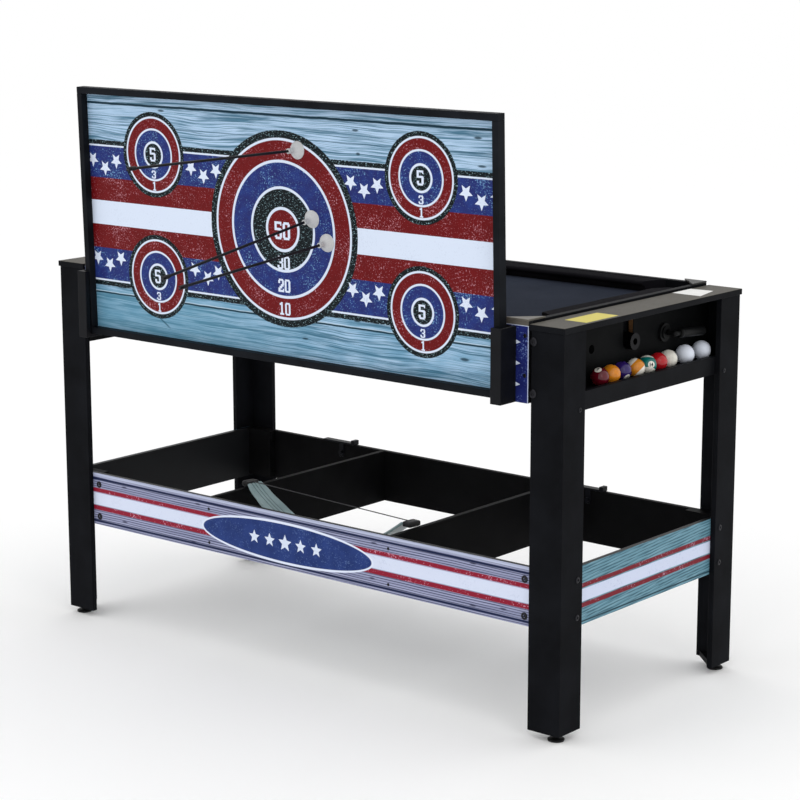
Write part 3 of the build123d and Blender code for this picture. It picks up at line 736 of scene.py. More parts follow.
def finish_bm(bm, name, smooth_deg=34.0):
    bmesh.ops.recalc_face_normals(bm, faces=bm.faces)
    me = bpy.data.meshes.new(name)
    lim = math.radians(smooth_deg)
    for e in bm.edges:
        e.smooth = not (len(e.link_faces) == 2 and e.calc_face_angle(0.0) > lim)
    for f in bm.faces:
        f.smooth = True
    bm.to_mesh(me)
    bm.free()
    return me


def weighted(o):
    m = o.modifiers.new("normals", "WEIGHTED_NORMAL")
    m.keep_sharp = True
    m.weight = 80
    return o


def cad_bm(node):
    bm = bmesh.new()
    bm.from_mesh(NODES[node].data)
    bmesh.ops.remove_doubles(bm, verts=bm.verts, dist=2e-6)
    bmesh.ops.dissolve_limit(bm, angle_limit=math.radians(0.6), verts=bm.verts, edges=bm.edges)
    return bm


def soften(node, width=0.0009, segs=2, min_len=0.006, mat=None, name=None, sharp_deg=40.0):
    """The node's own shape with its long edges eased, as a routed or moulded edge."""
    bm = cad_bm(node)
    lim = math.radians(sharp_deg)
    es = [e for e in bm.edges if len(e.link_faces) == 2 and e.calc_face_angle(0.0) > lim and e.calc_length() > min_len]
    if es and width > 0:
        bmesh.ops.bevel(bm, geom=es, offset=width, segments=segs, profile=0.5, affect="EDGES", clamp_overlap=False)
    bmesh.ops.remove_doubles(bm, verts=bm.verts, dist=1e-6)
    o = link(name or ("vis_" + node), finish_bm(bm, node), BODY_OF[node], SLOT_OF.get(node), (node,), mat or M.get(SLOT_OF.get(node)))
    return weighted(o)


def lathe(bm, profile, origin, axis, segs=32, shape=None, up=None):
    """Turns a closed profile [(radius, along)] about axis. shape(i, k) may scale the radius of ring i at segment k."""
    axis = Vector(axis).normalized()
    origin = Vector(origin)
    ref = Vector(up) if up else (Vector((0, 0, 1)) if abs(axis.z) < 0.9 else Vector((1, 0, 0)))
    u = (ref - axis * ref.dot(axis)).normalized()
    w = axis.cross(u)
    rings = []
    for i, (r, t) in enumerate(profile):
        if r < 1e-7:
            rings.append([bm.verts.new(origin + axis * t)])
            continue
        ring = []
        for k in range(segs):
            a = 2 * math.pi * k / segs
            rr = r * (shape(i, a) if shape else 1.0)
            ring.append(bm.verts.new(origin + axis * t + (u * math.cos(a) + w * math.sin(a)) * rr))
        rings.append(ring)
    for a, b in zip(rings, rings[1:]):
        if len(a) == 1 and len(b) == 1:
            continue
        for k in range(segs):
            k2 = (k + 1) % segs
            if len(a) == 1:
                bm.faces.new((a[0], b[k], b[k2]))
            elif len(b) == 1:
                bm.faces.new((a[k], b[0], a[k2]))
            else:
                bm.faces.new((a[k], b[k], b[k2], a[k2]))
    return rings


def islands(node):
    """Bounding boxes of the separate solids of a node."""
    bm = bmesh.new()
    bm.from_mesh(NODES[node].data)
    bmesh.ops.remove_doubles(bm, verts=bm.verts, dist=2e-6)
    seen, out = set(), []
    for v in bm.verts:
        if v in seen:
            continue
        stack, pts = [v], []
        seen.add(v)
        while stack:
            a = stack.pop()
            pts.append(a.co.copy())
            for e in a.link_edges:
                b = e.other_vert(a)
                if b not in seen:
                    seen.add(b)
                    stack.append(b)
        out.append((Vector((min(p.x for p in pts), min(p.y for p in pts), min(p.z for p in pts))),
                    Vector((max(p.x for p in pts), max(p.y for p in pts), max(p.z for p in pts)))))
    bm.free()
    return out


# ==================================================================== screws
def make_screws(node):
    bm = bmesh.new()
    for lo, hi in islands(node):
        c, s = (lo + hi) / 2, hi - lo
        ax = max(range(3), key=lambda i: s[i])
        d = Vector((0, 0, 0))
        d[ax] = 1.0 if c[ax] > 0 else -1.0
        out = (hi if c[ax] > 0 else lo)[ax]
        other = [i for i in range(3) if i != ax]
        r = max(s[i] for i in other) / 2
        big = r > 5.0 / 1000
        h = {0.0075: 0.0022, 0.0065: 0.0020, 0.0045: 0.0016}.get(round(r, 4), 0.0014 if r > 0.0036 else 0.0011)
        o = c.copy()
        o[ax] = out
        org = o - d * h                 # the surface under the head
        a = r * 0.46                    # hexagon socket
        hexf = lambda i, ang: (math.cos(math.pi / 6) / math.cos(((ang + math.pi / 6) % (math.pi / 3)) - math.pi / 6)) if i in HEX else 1.0
        prof = [(0.0, -h * 0.1 - 0.0002), (a, -0.0002), (a, h * 0.86), (a * 1.16, h * 0.97), (r * 0.72, h * 0.93), (r * 0.90, h * 0.70), (r, h * 0.34), (r, -0.00005),
                (0.0019, -0.0001), (0.0019, -0.006), (0.0, -0.007)]
        HEX = {1, 2}
        lathe(bm, prof, org, d, 24, hexf)
    me = finish_bm(bm, node)
    return link("vis_" + node, me, BODY_OF[node], SLOT_OF[node], (node,), M["screw_black"])


# =================================================================== build it
def make_boards():
    lam, head, tray = M["black_laminate"], M["header"], M["tray_black"]
    for n in ("leg_front_right", "leg_front_left", "leg_back_right", "leg_back_left"):
        soften(n, 0.0010, 3, mat=lam)
    soften("leg_corner_plates", 0.0008, mat=lam)
    soften("front_stretcher", 0.0007, mat=M["stretcher_print"])
    soften("back_stretcher", 0.0007, mat=tray)
    soften("end_stretchers", 0.0007, mat=M["end_print"])
    soften("tray_dividers", 0.0007, mat=tray)
    soften("corner_cleats", 0.0008, mat=tray)
    soften("header_panel_right", 0.0006, mat=M["panel_slot"])
    soften("header_panel_left", 0.0006, mat=M["panel_slot"])
    soften("ball_lips", 0.0010, 3, mat=head)
    soften("ball_ledges", 0.0006, mat=head)
    soften("header_cap_right", 0.0013, 3, mat=head)
    soften("header_cap_left", 0.0013, 3, mat=head)
    soften("front_apron", 0.0010, 3, mat=M["apron_print"])
    soften("back_apron", 0.0010, 3, mat=lam)
    soften("right_end_board", 0.0010, 3, mat=lam)
    soften("left_end_board", 0.0010, 3, mat=lam)
    soften("pool_bed", 0.0, mat=M["bed_board"])
    soften("hockey_bed", 0.0006, mat=M["hockey_white"])
    soften("target_frame_rails", 0.0010, 3, mat=M["target_frame"])
    soften("target_frame_stiles", 0.0010, 3, mat=M["target_frame"])
    soften("target_panel", 0.0003, 1, mat=M["target_print"])
    soften("back_clips", 0.0009, 2, mat=M["socket_plastic"])
    soften("target_sockets", 0.0012, 3, mat=M["socket_plastic"])
    soften("pocket_covers", 0.0009, 3, mat=M["pocket_plastic"])
    soften("pocket_cups", 0.0, mat=M["socket_plastic"])
    soften("pivot_axles", 0.0, mat=M["tube_steel"])
    soften("lock_bushes", 0.0, mat=M["pin_plastic"])


def make_feet():
    for n in ("foot_front_right", "foot_front_left", "foot_back_right", "foot_back_left"):
        lo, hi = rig.box(n)
        c = (lo + hi) / 2
        bm = bmesh.new()
        R = 0.0165
        prof = [(0.0, 0.0006), (R * 0.72, 0.0006), (R * 0.80, 0.0), (R * 0.97, 0.0), (R, 0.0006), (R, 0.0030), (R * 0.985, 0.0038), (R * 0.86, 0.0052), (R * 0.62, 0.0060), (0.0062, 0.0062)]
        z = 0.0062
        prof += [(0.0062, 0.0095), (0.0052, 0.0102)]
        z = 0.0102
        while z < hi.z - 0.0012:
            prof += [(0.0040, z + 0.0002), (0.0040, z + 0.0004), (0.0034, z + 0.0008)]
            z += 0.00125
        prof += [(0.0034, hi.z - 0.0002), (0.0, hi.z)]
        lathe(bm, prof, (c.x, c.y, 0), (0, 0, 1), 40, lambda i, a: 1.0 + (0.012 * math.cos(20 * a) if i in (4, 5) else 0.0) - (0.012 if i in (4, 5) else 0.0))
        o = link("vis_" + n, finish_bm(bm, n), n, SLOT_OF[n], (n,), M["foot_plastic"])


def make_lock_pins():
    for side, s in (("right", 1), ("left", -1)):
        bm = bmesh.new()
        px, py, pz = 0.652 * s, 0.125, 0.740
        # rod from the nose to the elbow
        prof = [(0.0, 0.611), (0.0030, 0.611), (0.0040, 0.6125), (0.0040, 0.6225), (0.0050, 0.6240), (0.0050, 0.6320), (0.0046, 0.6325), (0.0046, 0.6345), (0.0050, 0.6350), (0.0050, 0.6475), (0.0, 0.6490)]
        lathe(bm, [(r, t) for r, t in prof], (0, py, pz), (s, 0, 0), 28)
        ball = [(0.0065 * math.sin(math.pi * i / 12), -0.0065 * math.cos(math.pi * i / 12)) for i in range(13)]
        ball[0] = (0.0, ball[0][1]); ball[-1] = (0.0, ball[-1][1])
        d = Vector((0, math.cos(math.radians(4)), -math.sin(math.radians(4))))
        lathe(bm, ball, (px, py, pz), d, 28)
        lathe(bm, [(0.0, 0.002), (0.0050, 0.002), (0.0050, 0.0180), (0.0, 0.0182)], (px, py, pz), d, 24)
        # moulded grip with a collar, a waist and shallow finger rings
        L0, L1 = 0.016, 0.104
        g = [(0.0, L0), (0.0075, L0), (0.0093, L0 + 0.0012), (0.0099, L0 + 0.003), (0.0099, L0 + 0.0065), (0.0090, L0 + 0.0080)]
        k = 18
        for i in range(k + 1):
            t = L0 + 0.009 + (L1 - L0 - 0.016) * i / k
            g.append((0.0093 + (0.0004 if i % 2 else 0.0) + 0.0002 * math.sin(math.pi * i / k), t))
        g += [(0.0099, L1 - 0.0055), (0.0098, L1 - 0.0025), (0.0084, L1 - 0.0006), (0.0060, L1), (0.0, L1)]
        lathe(bm, g, (px, py, pz), d, 32)
        n = "lock_pin_" + side
        link("vis_" + n, finish_bm(bm, n, 50), n, SLOT_OF[n], (n,), M["pin_plastic"])


def make_cushions():
    """Rubber rail cushions: cloth pulled over a rounded nose and tucked under."""
    def nose(inset, top):
        # distance from the rim board, height: a back, a gentle top, a round nose, an undercut
        pts = [(0.0, 0.0), (0.0, top - 0.0016), (0.0006, top - 0.0004), (0.0020, top)]
        for i in range(1, 9):
            t = i / 9
            pts.append((0.0020 + (inset - 0.0070) * t, top - 0.0018 * t * t))
        for i in range(9):
            a = math.radians(78 - i * 20)
            pts.append((inset - 0.0052 + 0.0050 * math.cos(a), top - 0.0068 + 0.0050 * math.sin(a)))
        pts += [(inset - 0.0075, 0.0035), (inset - 0.0100, 0.0)]
        return pts

    top = 0.816 - 0.7915
    base = 0.7915
    rnd = random.Random(4)

    def strip(bm, a, b, cut_a, cut_b, place, inset):
        prof = nose(inset, top)
        n = 44
        rings = []
        for i in range(n + 1):
            t = i / n
            # ease the ends so that the cloth folds over them
            ring = []
            for (d, h) in prof:
                p0 = a + cut_a * d / inset
                p1 = b - cut_b * d / inset
                q = p0 + (p1 - p0) * t
                lift = 0.00025 * math.sin(40 * q + 9 * d)
                ring.append(bm.verts.new(place(q, d, base + h + (lift if 0.002 < d < inset - 0.004 else 0.0))))
            rings.append(ring)
        m = len(prof)
        for r0, r1 in zip(rings, rings[1:]):
            for k in range(m):
                bm.faces.new((r0[k], r0[(k + 1) % m], r1[(k + 1) % m], r1[k]))
        bm.faces.new(rings[0])
        bm.faces.new(list(reversed(rings[-1])))

    by, bx = 0.294, 0.593
    bm = bmesh.new()
    for sx in (-1, 1):
        for sy in (-1, 1):
            strip(bm, 0.0425, 0.5170, 0.013, 0.033, lambda q, d, h, sx=sx, sy=sy: (sx * q, sy * (by - d), h), 0.0398)
    me = finish_bm(bm, "side_cushions", 50)
    o = link("vis_side_cushions", me, "playing_body", "cushion_cloth", ("side_cushions",), M["cushion_cloth"])
    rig.padded(o, fill=1.0)
    bm = bmesh.new()
    for sx in (-1, 1):
        strip(bm, -0.2185, 0.2185, 0.0330, 0.0330, lambda q, d, h, sx=sx: (sx * (bx - d), q, h), 0.0448)
    me = finish_bm(bm, "end_cushions", 50)
    o = link("vis_end_cushions", me, "playing_body", "cushion_cloth", ("end_cushions",), M["cushion_cloth"])
    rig.padded(o, fill=1.0)


def make_cloth():
    o = soften("pool_cloth", 0.0008, 2, 0.0015, mat=M["pool_cloth"], sharp_deg=50)
    area = 1.186 * 0.588 - 4 * math.pi * 0.031 ** 2 - 2 * math.pi * 0.028 ** 2
    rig.sheet(o, flat=(1.186, 0.588), held="stretched", rests_on=["pool_bed"], area=area)


def make_balls():
    spec = {
        "ball_maroon": ("solid", (96, 8, 26), [(0.122, -0.459, 0.876)], (0, 0, 1), 0.5),
        "ball_orange": ("solid", (228, 140, 30), [(-0.6, 0.3, -0.7)], (0, 0, 1), 0.5),
        "ball_purple": ("solid", (48, 30, 104), [(0.80, -0.16, -0.58)], (0, 0, 1), 0.5),
        "ball_orange_stripe": ("stripe", (228, 142, 36), [(-0.7, -0.5, -0.5)], (0.66, 0.30, -0.66), 0.50),
        "ball_teal_stripe": ("stripe", (12, 116, 110), [(0.90, -0.50, 0.20)], (-0.30, 0.42, 0.86), 0.56),
        "ball_red": ("solid", (188, 24, 34), [(-0.9, 0.2, 0.3)], (0, 0, 1), 0.5),
        "ball_cue": ("solid", (236, 233, 222), [], (0, 0, 1), 0.5),
    }
    digits = {"ball_maroon": ("7", (0.122, -0.459, 0.876)), "ball_purple": ("4", (0.80, -0.16, -0.58)), "ball_teal_stripe": ("14", (0.90, -0.50, 0.20))}
    for nm, (kind, tone, dots, axis, band) in spec.items():
        lo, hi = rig.box(nm)
        c = (lo + hi) / 2
        R = (hi.z - lo.z) / 2
        bm = bmesh.new()
        bmesh.ops.create_icosphere(bm, subdivisions=5, radius=R, matrix=Matrix.Translation(c))
        m = mat_ball(nm + "_resin", tuple(c * 1000), kind, tone, dots, axis, band)
        o = link("vis_" + nm, finish_bm(bm, nm, 60), nm, SLOT_OF[nm], (nm,), m)
        if nm in digits:
            txt, d = digits[nm]
            d = Vector(d).normalized()
            up = Vector((0, 0, 1)) if abs(d.z) < 0.9 else Vector((0, 1, 0))
            rt = up.cross(d).normalized()
            up = d.cross(rt)
            tb = text_bm(txt, 0.0058 * (1.0 if len(txt) == 1 else 1.35), 0.0076, 0.0, bold=0.05)
            bmesh.ops.triangulate(tb, faces=tb.faces[:])
            bmesh.ops.subdivide_edges(tb, edges=tb.edges[:], cuts=2, use_grid_fill=True)
            for v in tb.verts:
                u, w, t = v.co.x, v.co.y, v.co.z
                q = (d + rt * (u / R) + up * (w / R)).normalized()
                v.co = c + q * (R + (0.00012 if t > 0 else -0.00025))
            dm = finish_bm(tb, nm + "_number", 30)
            link(nm + "_number", dm, nm, SLOT_OF[nm], (), M["digit_black"])
    for i in (1, 2):
        nm = f"table_tennis_ball_{i}"
        lo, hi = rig.box(nm)
        c = (lo + hi) / 2
        R = (hi.z - lo.z) / 2
        bm = bmesh.new()
        bmesh.ops.create_icosphere(bm, subdivisions=5, radius=R, matrix=Matrix.Translation(c))
        # the fine weld seam round a celluloid ball
        ax = Vector((0.3, 0.5, 0.8)).normalized()
        for v in bm.verts:
            h = (v.co - c).normalized().dot(ax)
            if abs(h) < 0.02:
                v.co = c + (v.co - c).normalized() * (R - 0.00012)
        link("vis_" + nm, finish_bm(bm, nm, 60), nm, SLOT_OF[nm], (nm,), M["tt_white"])


# ------------------------------------------------------------- text as digits
def text_bm(txt, width, height, depth, bold=0.02, slim=None):
    """Digits from the built-in font as a flat closed mesh, centred, in the XY plane, width x height."""
    cu = bpy.data.curves.new("digits", "FONT")
    cu.body = txt
    cu.size = 1.0
    cu.offset = bold
    cu.extrude = 0.01
    cu.resolution_u = 4
    ob = bpy.data.objects.new("digits", cu)
    SCENE.collection.objects.link(ob)
    dg = bpy.context.evaluated_depsgraph_get()
    me = bpy.data.meshes.new_from_object(ob.evaluated_get(dg))
    bpy.data.objects.remove(ob)
    bm = bmesh.new()
    bm.from_mesh(me)
    bpy.data.meshes.remove(me)
    bmesh.ops.remove_doubles(bm, verts=bm.verts, dist=1e-5)
    xs = [v.co.x for v in bm.verts]
    ys = [v.co.y for v in bm.verts]
    cx, cy = (min(xs) + max(xs)) / 2, (min(ys) + max(ys)) / 2
    sx, sy = width / (max(xs) - min(xs)), height / (max(ys) - min(ys))
    for v in bm.verts:
        v.co = Vector(((v.co.x - cx) * sx, (v.co.y - cy) * sy, (1.0 if v.co.z > 0 else -1.0)))
    return bm


TH = math.radians(1.6)
LEAN = Matrix.Translation((0, -0.341, 0.66805)) @ Matrix.Rotation(TH, 4, "X")


def star(bm, place, cx, cy, R, inner=0.47, down=True, depth=(0.0, 0.00006)):
    pts = []
    for k in range(10):
        a = math.radians((-90 if down else 90) + 36 * k)
        r = R if k % 2 == 0 else R * inner
        pts.append((cx + r * math.cos(a), cy + r * math.sin(a)))
    return prism(bm, pts, place, depth)


def prism(bm, pts, place, depth):
    a = [bm.verts.new(place(x, y, depth[0])) for x, y in pts]
    b = [bm.verts.new(place(x, y, depth[1])) for x, y in pts]
    bm.faces.new(list(reversed(a)))
    bm.faces.new(b)
    n = len(pts)
    for i in range(n):
        bm.faces.new((a[i], a[(i + 1) % n], b[(i + 1) % n], b[i]))


def clip_poly(pts, x_max=None, x_min=None):
    def cut(p, keep, at):
        out = []
        for i in range(len(p)):
            a, b = p[i], p[(i + 1) % len(p)]
            ka, kb = keep(a[0]), keep(b[0])
            if ka:
                out.append(a)
            if ka != kb:
                t = (at - a[0]) / (b[0] - a[0])
                out.append((at, a[1] + (b[1] - a[1]) * t))
        return out
    if x_max is not None:
        pts = cut(pts, lambda q: q <= x_max, x_max)
    if x_min is not None:
        pts = cut(pts, lambda q: q >= x_min, x_min)
    return pts


def board_place(x, v, out):
    """Point on the front of the target panel: x and v in mm, out in metres towards the player."""
    return LEAN @ Vector((x / 1000, 0.017 - out, (v - 4.0) / 1000))


GLYPHS = {
    # strokes of a condensed slab figure, as boxes (x0, y0, x1, y1) in a cell 1 wide and 1 high
    "0": [(0.00, 0.10, 0.32, 0.90), (0.68, 0.10, 1.00, 0.90), (0.12, 0.86, 0.88, 1.00), (0.12, 0.00, 0.88, 0.14)],
    "1": [(0.36, 0.10, 0.68, 1.00), (0.12, 0.76, 0.40, 0.92), (0.14, 0.00, 0.90, 0.14)],
    "2": [(0.00, 0.66, 0.32, 0.88), (0.12, 0.86, 0.88, 1.00), (0.68, 0.56, 1.00, 0.90), (0.46, 0.42, 0.92, 0.60), (0.22, 0.28, 0.66, 0.46), (0.00, 0.10, 0.38, 0.32), (0.00, 0.00, 1.00, 0.16), (0.80, 0.10, 1.00, 0.26)],
    "3": [(0.00, 0.70, 0.32, 0.88), (0.12, 0.86, 0.88, 1.00), (0.68, 0.56, 1.00, 0.90), (0.34, 0.44, 0.86, 0.58), (0.68, 0.10, 1.00, 0.47), (0.12, 0.00, 0.88, 0.14), (0.00, 0.12, 0.32, 0.30)],
    "5": [(0.00, 0.86, 0.96, 1.00), (0.00, 0.50, 0.30, 0.90), (0.20, 0.50, 0.88, 0.64), (0.68, 0.10, 1.00, 0.58), (0.12, 0.00, 0.88, 0.14), (0.00, 0.10, 0.32, 0.30), (0.80, 0.78, 0.96, 0.90)],
}


def figure(bm, txt, cx, cv, w, h, place):
    """Printed number, w x h overall, as one merged sheet of raised ink."""
    k = len(txt)
    gap = 0.06 * w if k > 1 else 0.0
    cw = (w - gap * (k - 1)) / k
    for i, ch in enumerate(txt):
        x0 = cx - w / 2 + i * (cw + gap)
        boxes = GLYPHS[ch]
        xs = sorted({q for b in boxes for q in (b[0], b[2])})
        ys = sorted({q for b in boxes for q in (b[1], b[3])})
        on = {(a, b) for a in range(len(xs) - 1) for b in range(len(ys) - 1)
              if any(p[0] <= (xs[a] + xs[a + 1]) / 2 <= p[2] and p[1] <= (ys[b] + ys[b + 1]) / 2 <= p[3] for p in boxes)}
        vt = {}

        def vert(a, b, t):
            key = (a, b, t)
            if key not in vt:
                vt[key] = bm.verts.new(place(x0 + xs[a] * cw, cv - h / 2 + ys[b] * h, 0.00008 if t else -0.00020))
            return vt[key]
        for (a, b) in on:
            bm.faces.new((vert(a, b, 1), vert(a + 1, b, 1), vert(a + 1, b + 1, 1), vert(a, b + 1, 1)))
            bm.faces.new((vert(a, b + 1, 0), vert(a + 1, b + 1, 0), vert(a + 1, b, 0), vert(a, b, 0)))
            for (da, db, p, q) in ((0, -1, (a, b), (a + 1, b)), (1, 0, (a + 1, b), (a + 1, b + 1)), (0, 1, (a + 1, b + 1), (a, b + 1)), (-1, 0, (a, b + 1), (a, b))):
                if (a + da, b + db) not in on:
                    bm.faces.new((vert(*p, 0), vert(*q, 0), vert(*q, 1), vert(*p, 1)))


def make_target_print():
    bm = bmesh.new()
    stars = [(-544, 386), (-507, 369.5), (-472, 386), (-248, 386), (-212, 371.5), (-176, 385), (191, 387), (225.5, 373), (259, 386), (478, 387.5), (515, 372.5), (552, 388),
             (-543, 172.5), (-506, 160), (-471, 176), (-247, 173.5), (-210, 158), (-179, 172.6), (190, 174), (224.5, 158.4), (258.5, 174.6), (475, 174.7), (512, 159.4), (552, 176)]
    for sx, sv in stars:
        pts = []
        for k in range(10):
            a = math.radians(-90 + 36 * k)
            r = 17.0 if k % 2 == 0 else 7.7
            pts.append((sx + r * math.cos(a), sv + r * math.sin(a)))
        pts = clip_poly(pts, x_max=553.2, x_min=-553.2)
        prism(bm, pts, board_place, (-0.00020, 0.00008))
    link("target_stars", finish_bm(bm, "target_stars", 30), "target_board", "target_print", (), M["ink_white"])
    bm = bmesh.new()
    marks = [("50", 5.5, 275.5, 42, 36), ("30", 6.5, 210, 34, 27), ("20", 6.5, 163, 33, 27), ("10", 6, 115.5, 31, 26)]
    for cx, cv in ((-358, 406), (-358, 146), (369, 407), (368, 147)):
        marks += [("5", cx - 1.5, cv + 0.5, 17, 29), ("3", cx - 0.5, cv - 41.5, 12.0, 17), ("1", cx + 0.0, cv - 66.0, 11.0, 19)]
    for txt, cx, cv, w, h in marks:
        figure(bm, txt, cx, cv, w, h, board_place)
    link("target_numerals", finish_bm(bm, "target_numerals", 30), "target_board", "target_print", (), M["ink_white"])


def make_stretcher_print():
    lo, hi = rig.box("front_stretcher")
    z1, z0 = hi.z * 1000, lo.z * 1000
    zc = z1 - 0.535 * (z1 - z0)
    bm = bmesh.new()
    place = lambda x, z, out: Vector((x / 1000, lo.y - out, z / 1000))
    for k, x in enumerate((-118, -74, -30, 14, 58)):
        star(bm, place, x, zc, 15.5 if k != 2 else 19.0, 0.45, down=False, depth=(-0.0002, 0.00008))
    link("badge_stars", finish_bm(bm, "badge_stars", 30), "frame", "stretcher_print", (), M["ink_white"])
    lo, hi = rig.box("front_apron")
    bm = bmesh.new()
    place = lambda x, z, out: Vector((x / 1000, lo.y - out, z / 1000))
    row = 0
    for r in range(3):
        z = lo.z * 1000 + 48 + r * 38
        off = 0 if r % 2 == 0 else 26
        x = -520 + off
        while x <= 522:
            star(bm, place, x, z, 12.5, 0.45, down=True, depth=(-0.0002, 0.00008))
            x += 52
    for z in (776.0, 735.5, 695.0):
        for sx in (-1, 1):
            pts = [(sx * (573.0 + (17.0 if k % 2 == 0 else 7.4) * math.cos(math.radians(36 * k))), z + (17.0 if k % 2 == 0 else 7.4) * math.sin(math.radians(36 * k))) for k in range(10)]
            prism(bm, pts, place, (-0.0002, 0.00008))
    link("apron_stars", finish_bm(bm, "apron_stars", 30), "playing_body", "apron_print", (), M["ink_white"])


def make_arrows():
    dirs = {1: (-7.8, -456.8, -1.3), 2: (33.8, -451.4, -63.6), 3: (41.2, -454.4, -31.4)}
    pts = {1: (53.0, 1105.5), 2: (87.5, 970.0), 3: (126.0, 925.5)}
    for i in (1, 2, 3):
        x, z = pts[i]
        v = (z - 664.05 - 17 * math.sin(TH)) / math.cos(TH)
        p0 = board_place(x, v, 0.0)
        d = Vector(dirs[i]).normalized()
        # rubber cup: thin pressed lip, hollow bell, ringed neck
        bm = bmesh.new()
        R = 0.0184
        out = [(R, 0.0), (R, 0.0008), (R - 0.0004, 0.0014), (R - 0.0016, 0.0024), (R - 0.0034, 0.0048), (R - 0.0060, 0.0074), (0.0085, 0.0104), (0.0066, 0.0130), (0.0055, 0.0158),
               (0.0051, 0.0190), (0.0054, 0.0194), (0.0054, 0.0206), (0.0051, 0.0210), (0.0051, 0.0248), (0.0054, 0.0252), (0.0054, 0.0272), (0.0050, 0.0280), (0.0028, 0.0280)]
        inn = [(0.0028, 0.0262), (0.0, 0.0262)]
        hol = [(0.0, 0.0052), (0.0060, 0.0046), (0.0110, 0.0030), (R - 0.0022, 0.0006), (R - 0.0008, 0.0)]
        axis_n = (LEAN.to_3x3() @ Vector((0, -1, 0))).normalized()
        rings = lathe(bm, hol + out + inn, p0, d, 40)
        # press the lip flat on the board
        for ring in rings:
            for q in ring:
                h = (q.co - p0).dot(axis_n)
                if h < 0.0001:
                    q.co += axis_n * (0.0001 - h)
        nm = f"arrow_{i}_cup"
        link("vis_" + nm, finish_bm(bm, nm, 60), f"arrow_{i}", SLOT_OF[nm], (nm,), M["arrow_cup"])
        bm = bmesh.new()
        r = 0.00275
        L = 0.457
        prof = [(0.0, 0.0092), (r, 0.0092)]
        for k in range(1, 12):
            prof.append((r, 0.009 + (L - 0.030) * k / 12))
        prof += [(r, L - 0.0215), (0.0040, L - 0.0200), (0.0042, L - 0.0185), (0.0042, L - 0.0100), (0.0041, L - 0.0080)]
        lathe(bm, prof + [(0.0, L - 0.0080)], p0, d, 20)
        # two prongs of the string notch
        ref = Vector((0, 0, 1))
        u = (ref - d * ref.dot(d)).normalized()
        w = d.cross(u)
        for sgn in (-1, 1):
            base = []
            for (a, t) in ((0, 0), (1, 0), (1, 1), (0, 1)):
                pass
            ringb, ringt = [], []
            for k in range(9):
                ang = -math.radians(70) + math.radians(140) * k / 8
                rr = 0.0041
                off = u * (sgn * max(0.0012, rr * math.cos(ang))) + w * (rr * math.sin(ang))
                ringb.append(bm.verts.new(p0 + d * (L - 0.0085) + off))
                ringt.append(bm.verts.new(p0 + d * (L - 0.0002 - 0.0006 * abs(k - 4) / 4) + off * 0.93))
            inb = [bm.verts.new(p0 + d * (L - 0.0085) + u * (sgn * 0.0012) + w * (0.0041 * math.sin(a_))) for a_ in (math.radians(70), -math.radians(70))]
            int_ = [bm.verts.new(p0 + d * (L - 0.0008) + u * (sgn * 0.0012) + w * (0.0038 * math.sin(a_))) for a_ in (math.radians(70), -math.radians(70))]
            rb, rt_ = ringb + inb, ringt + int_
            m = len(rb)
            bm.faces.new(rb if sgn > 0 else list(reversed(rb)))
            bm.faces.new(rt_ if sgn < 0 else list(reversed(rt_)))
            for k in range(m):
                bm.faces.new((rb[k], rb[(k + 1) % m], rt_[(k + 1) % m], rt_[k]))
        nm = f"arrow_{i}_shaft"
        link("vis_" + nm, finish_bm(bm, nm, 40), f"arrow_{i}", SLOT_OF[nm], (nm,), M["arrow_shaft"])


# ----------------------------------------------------------------------- bow
HALF, SAG, TIPZ = 0.240, 0.086, 0.344
RB = (HALF ** 2 + SAG ** 2) / (2 * SAG)
ZC = TIPZ - SAG + RB
BOWM = Matrix.Translation((-0.009, -0.182, 0)) @ Matrix.Rotation(math.radians(-5.1), 4, "Z")


def spline(pts, t):
    for (x0, y0), (x1, y1) in zip(pts, pts[1:]):
        if x0 <= t <= x1:
            k = (t - x0) / (x1 - x0)
            k = k * k * (3 - 2 * k)
            return y0 + (y1 - y0) * k
    return pts[-1][1]


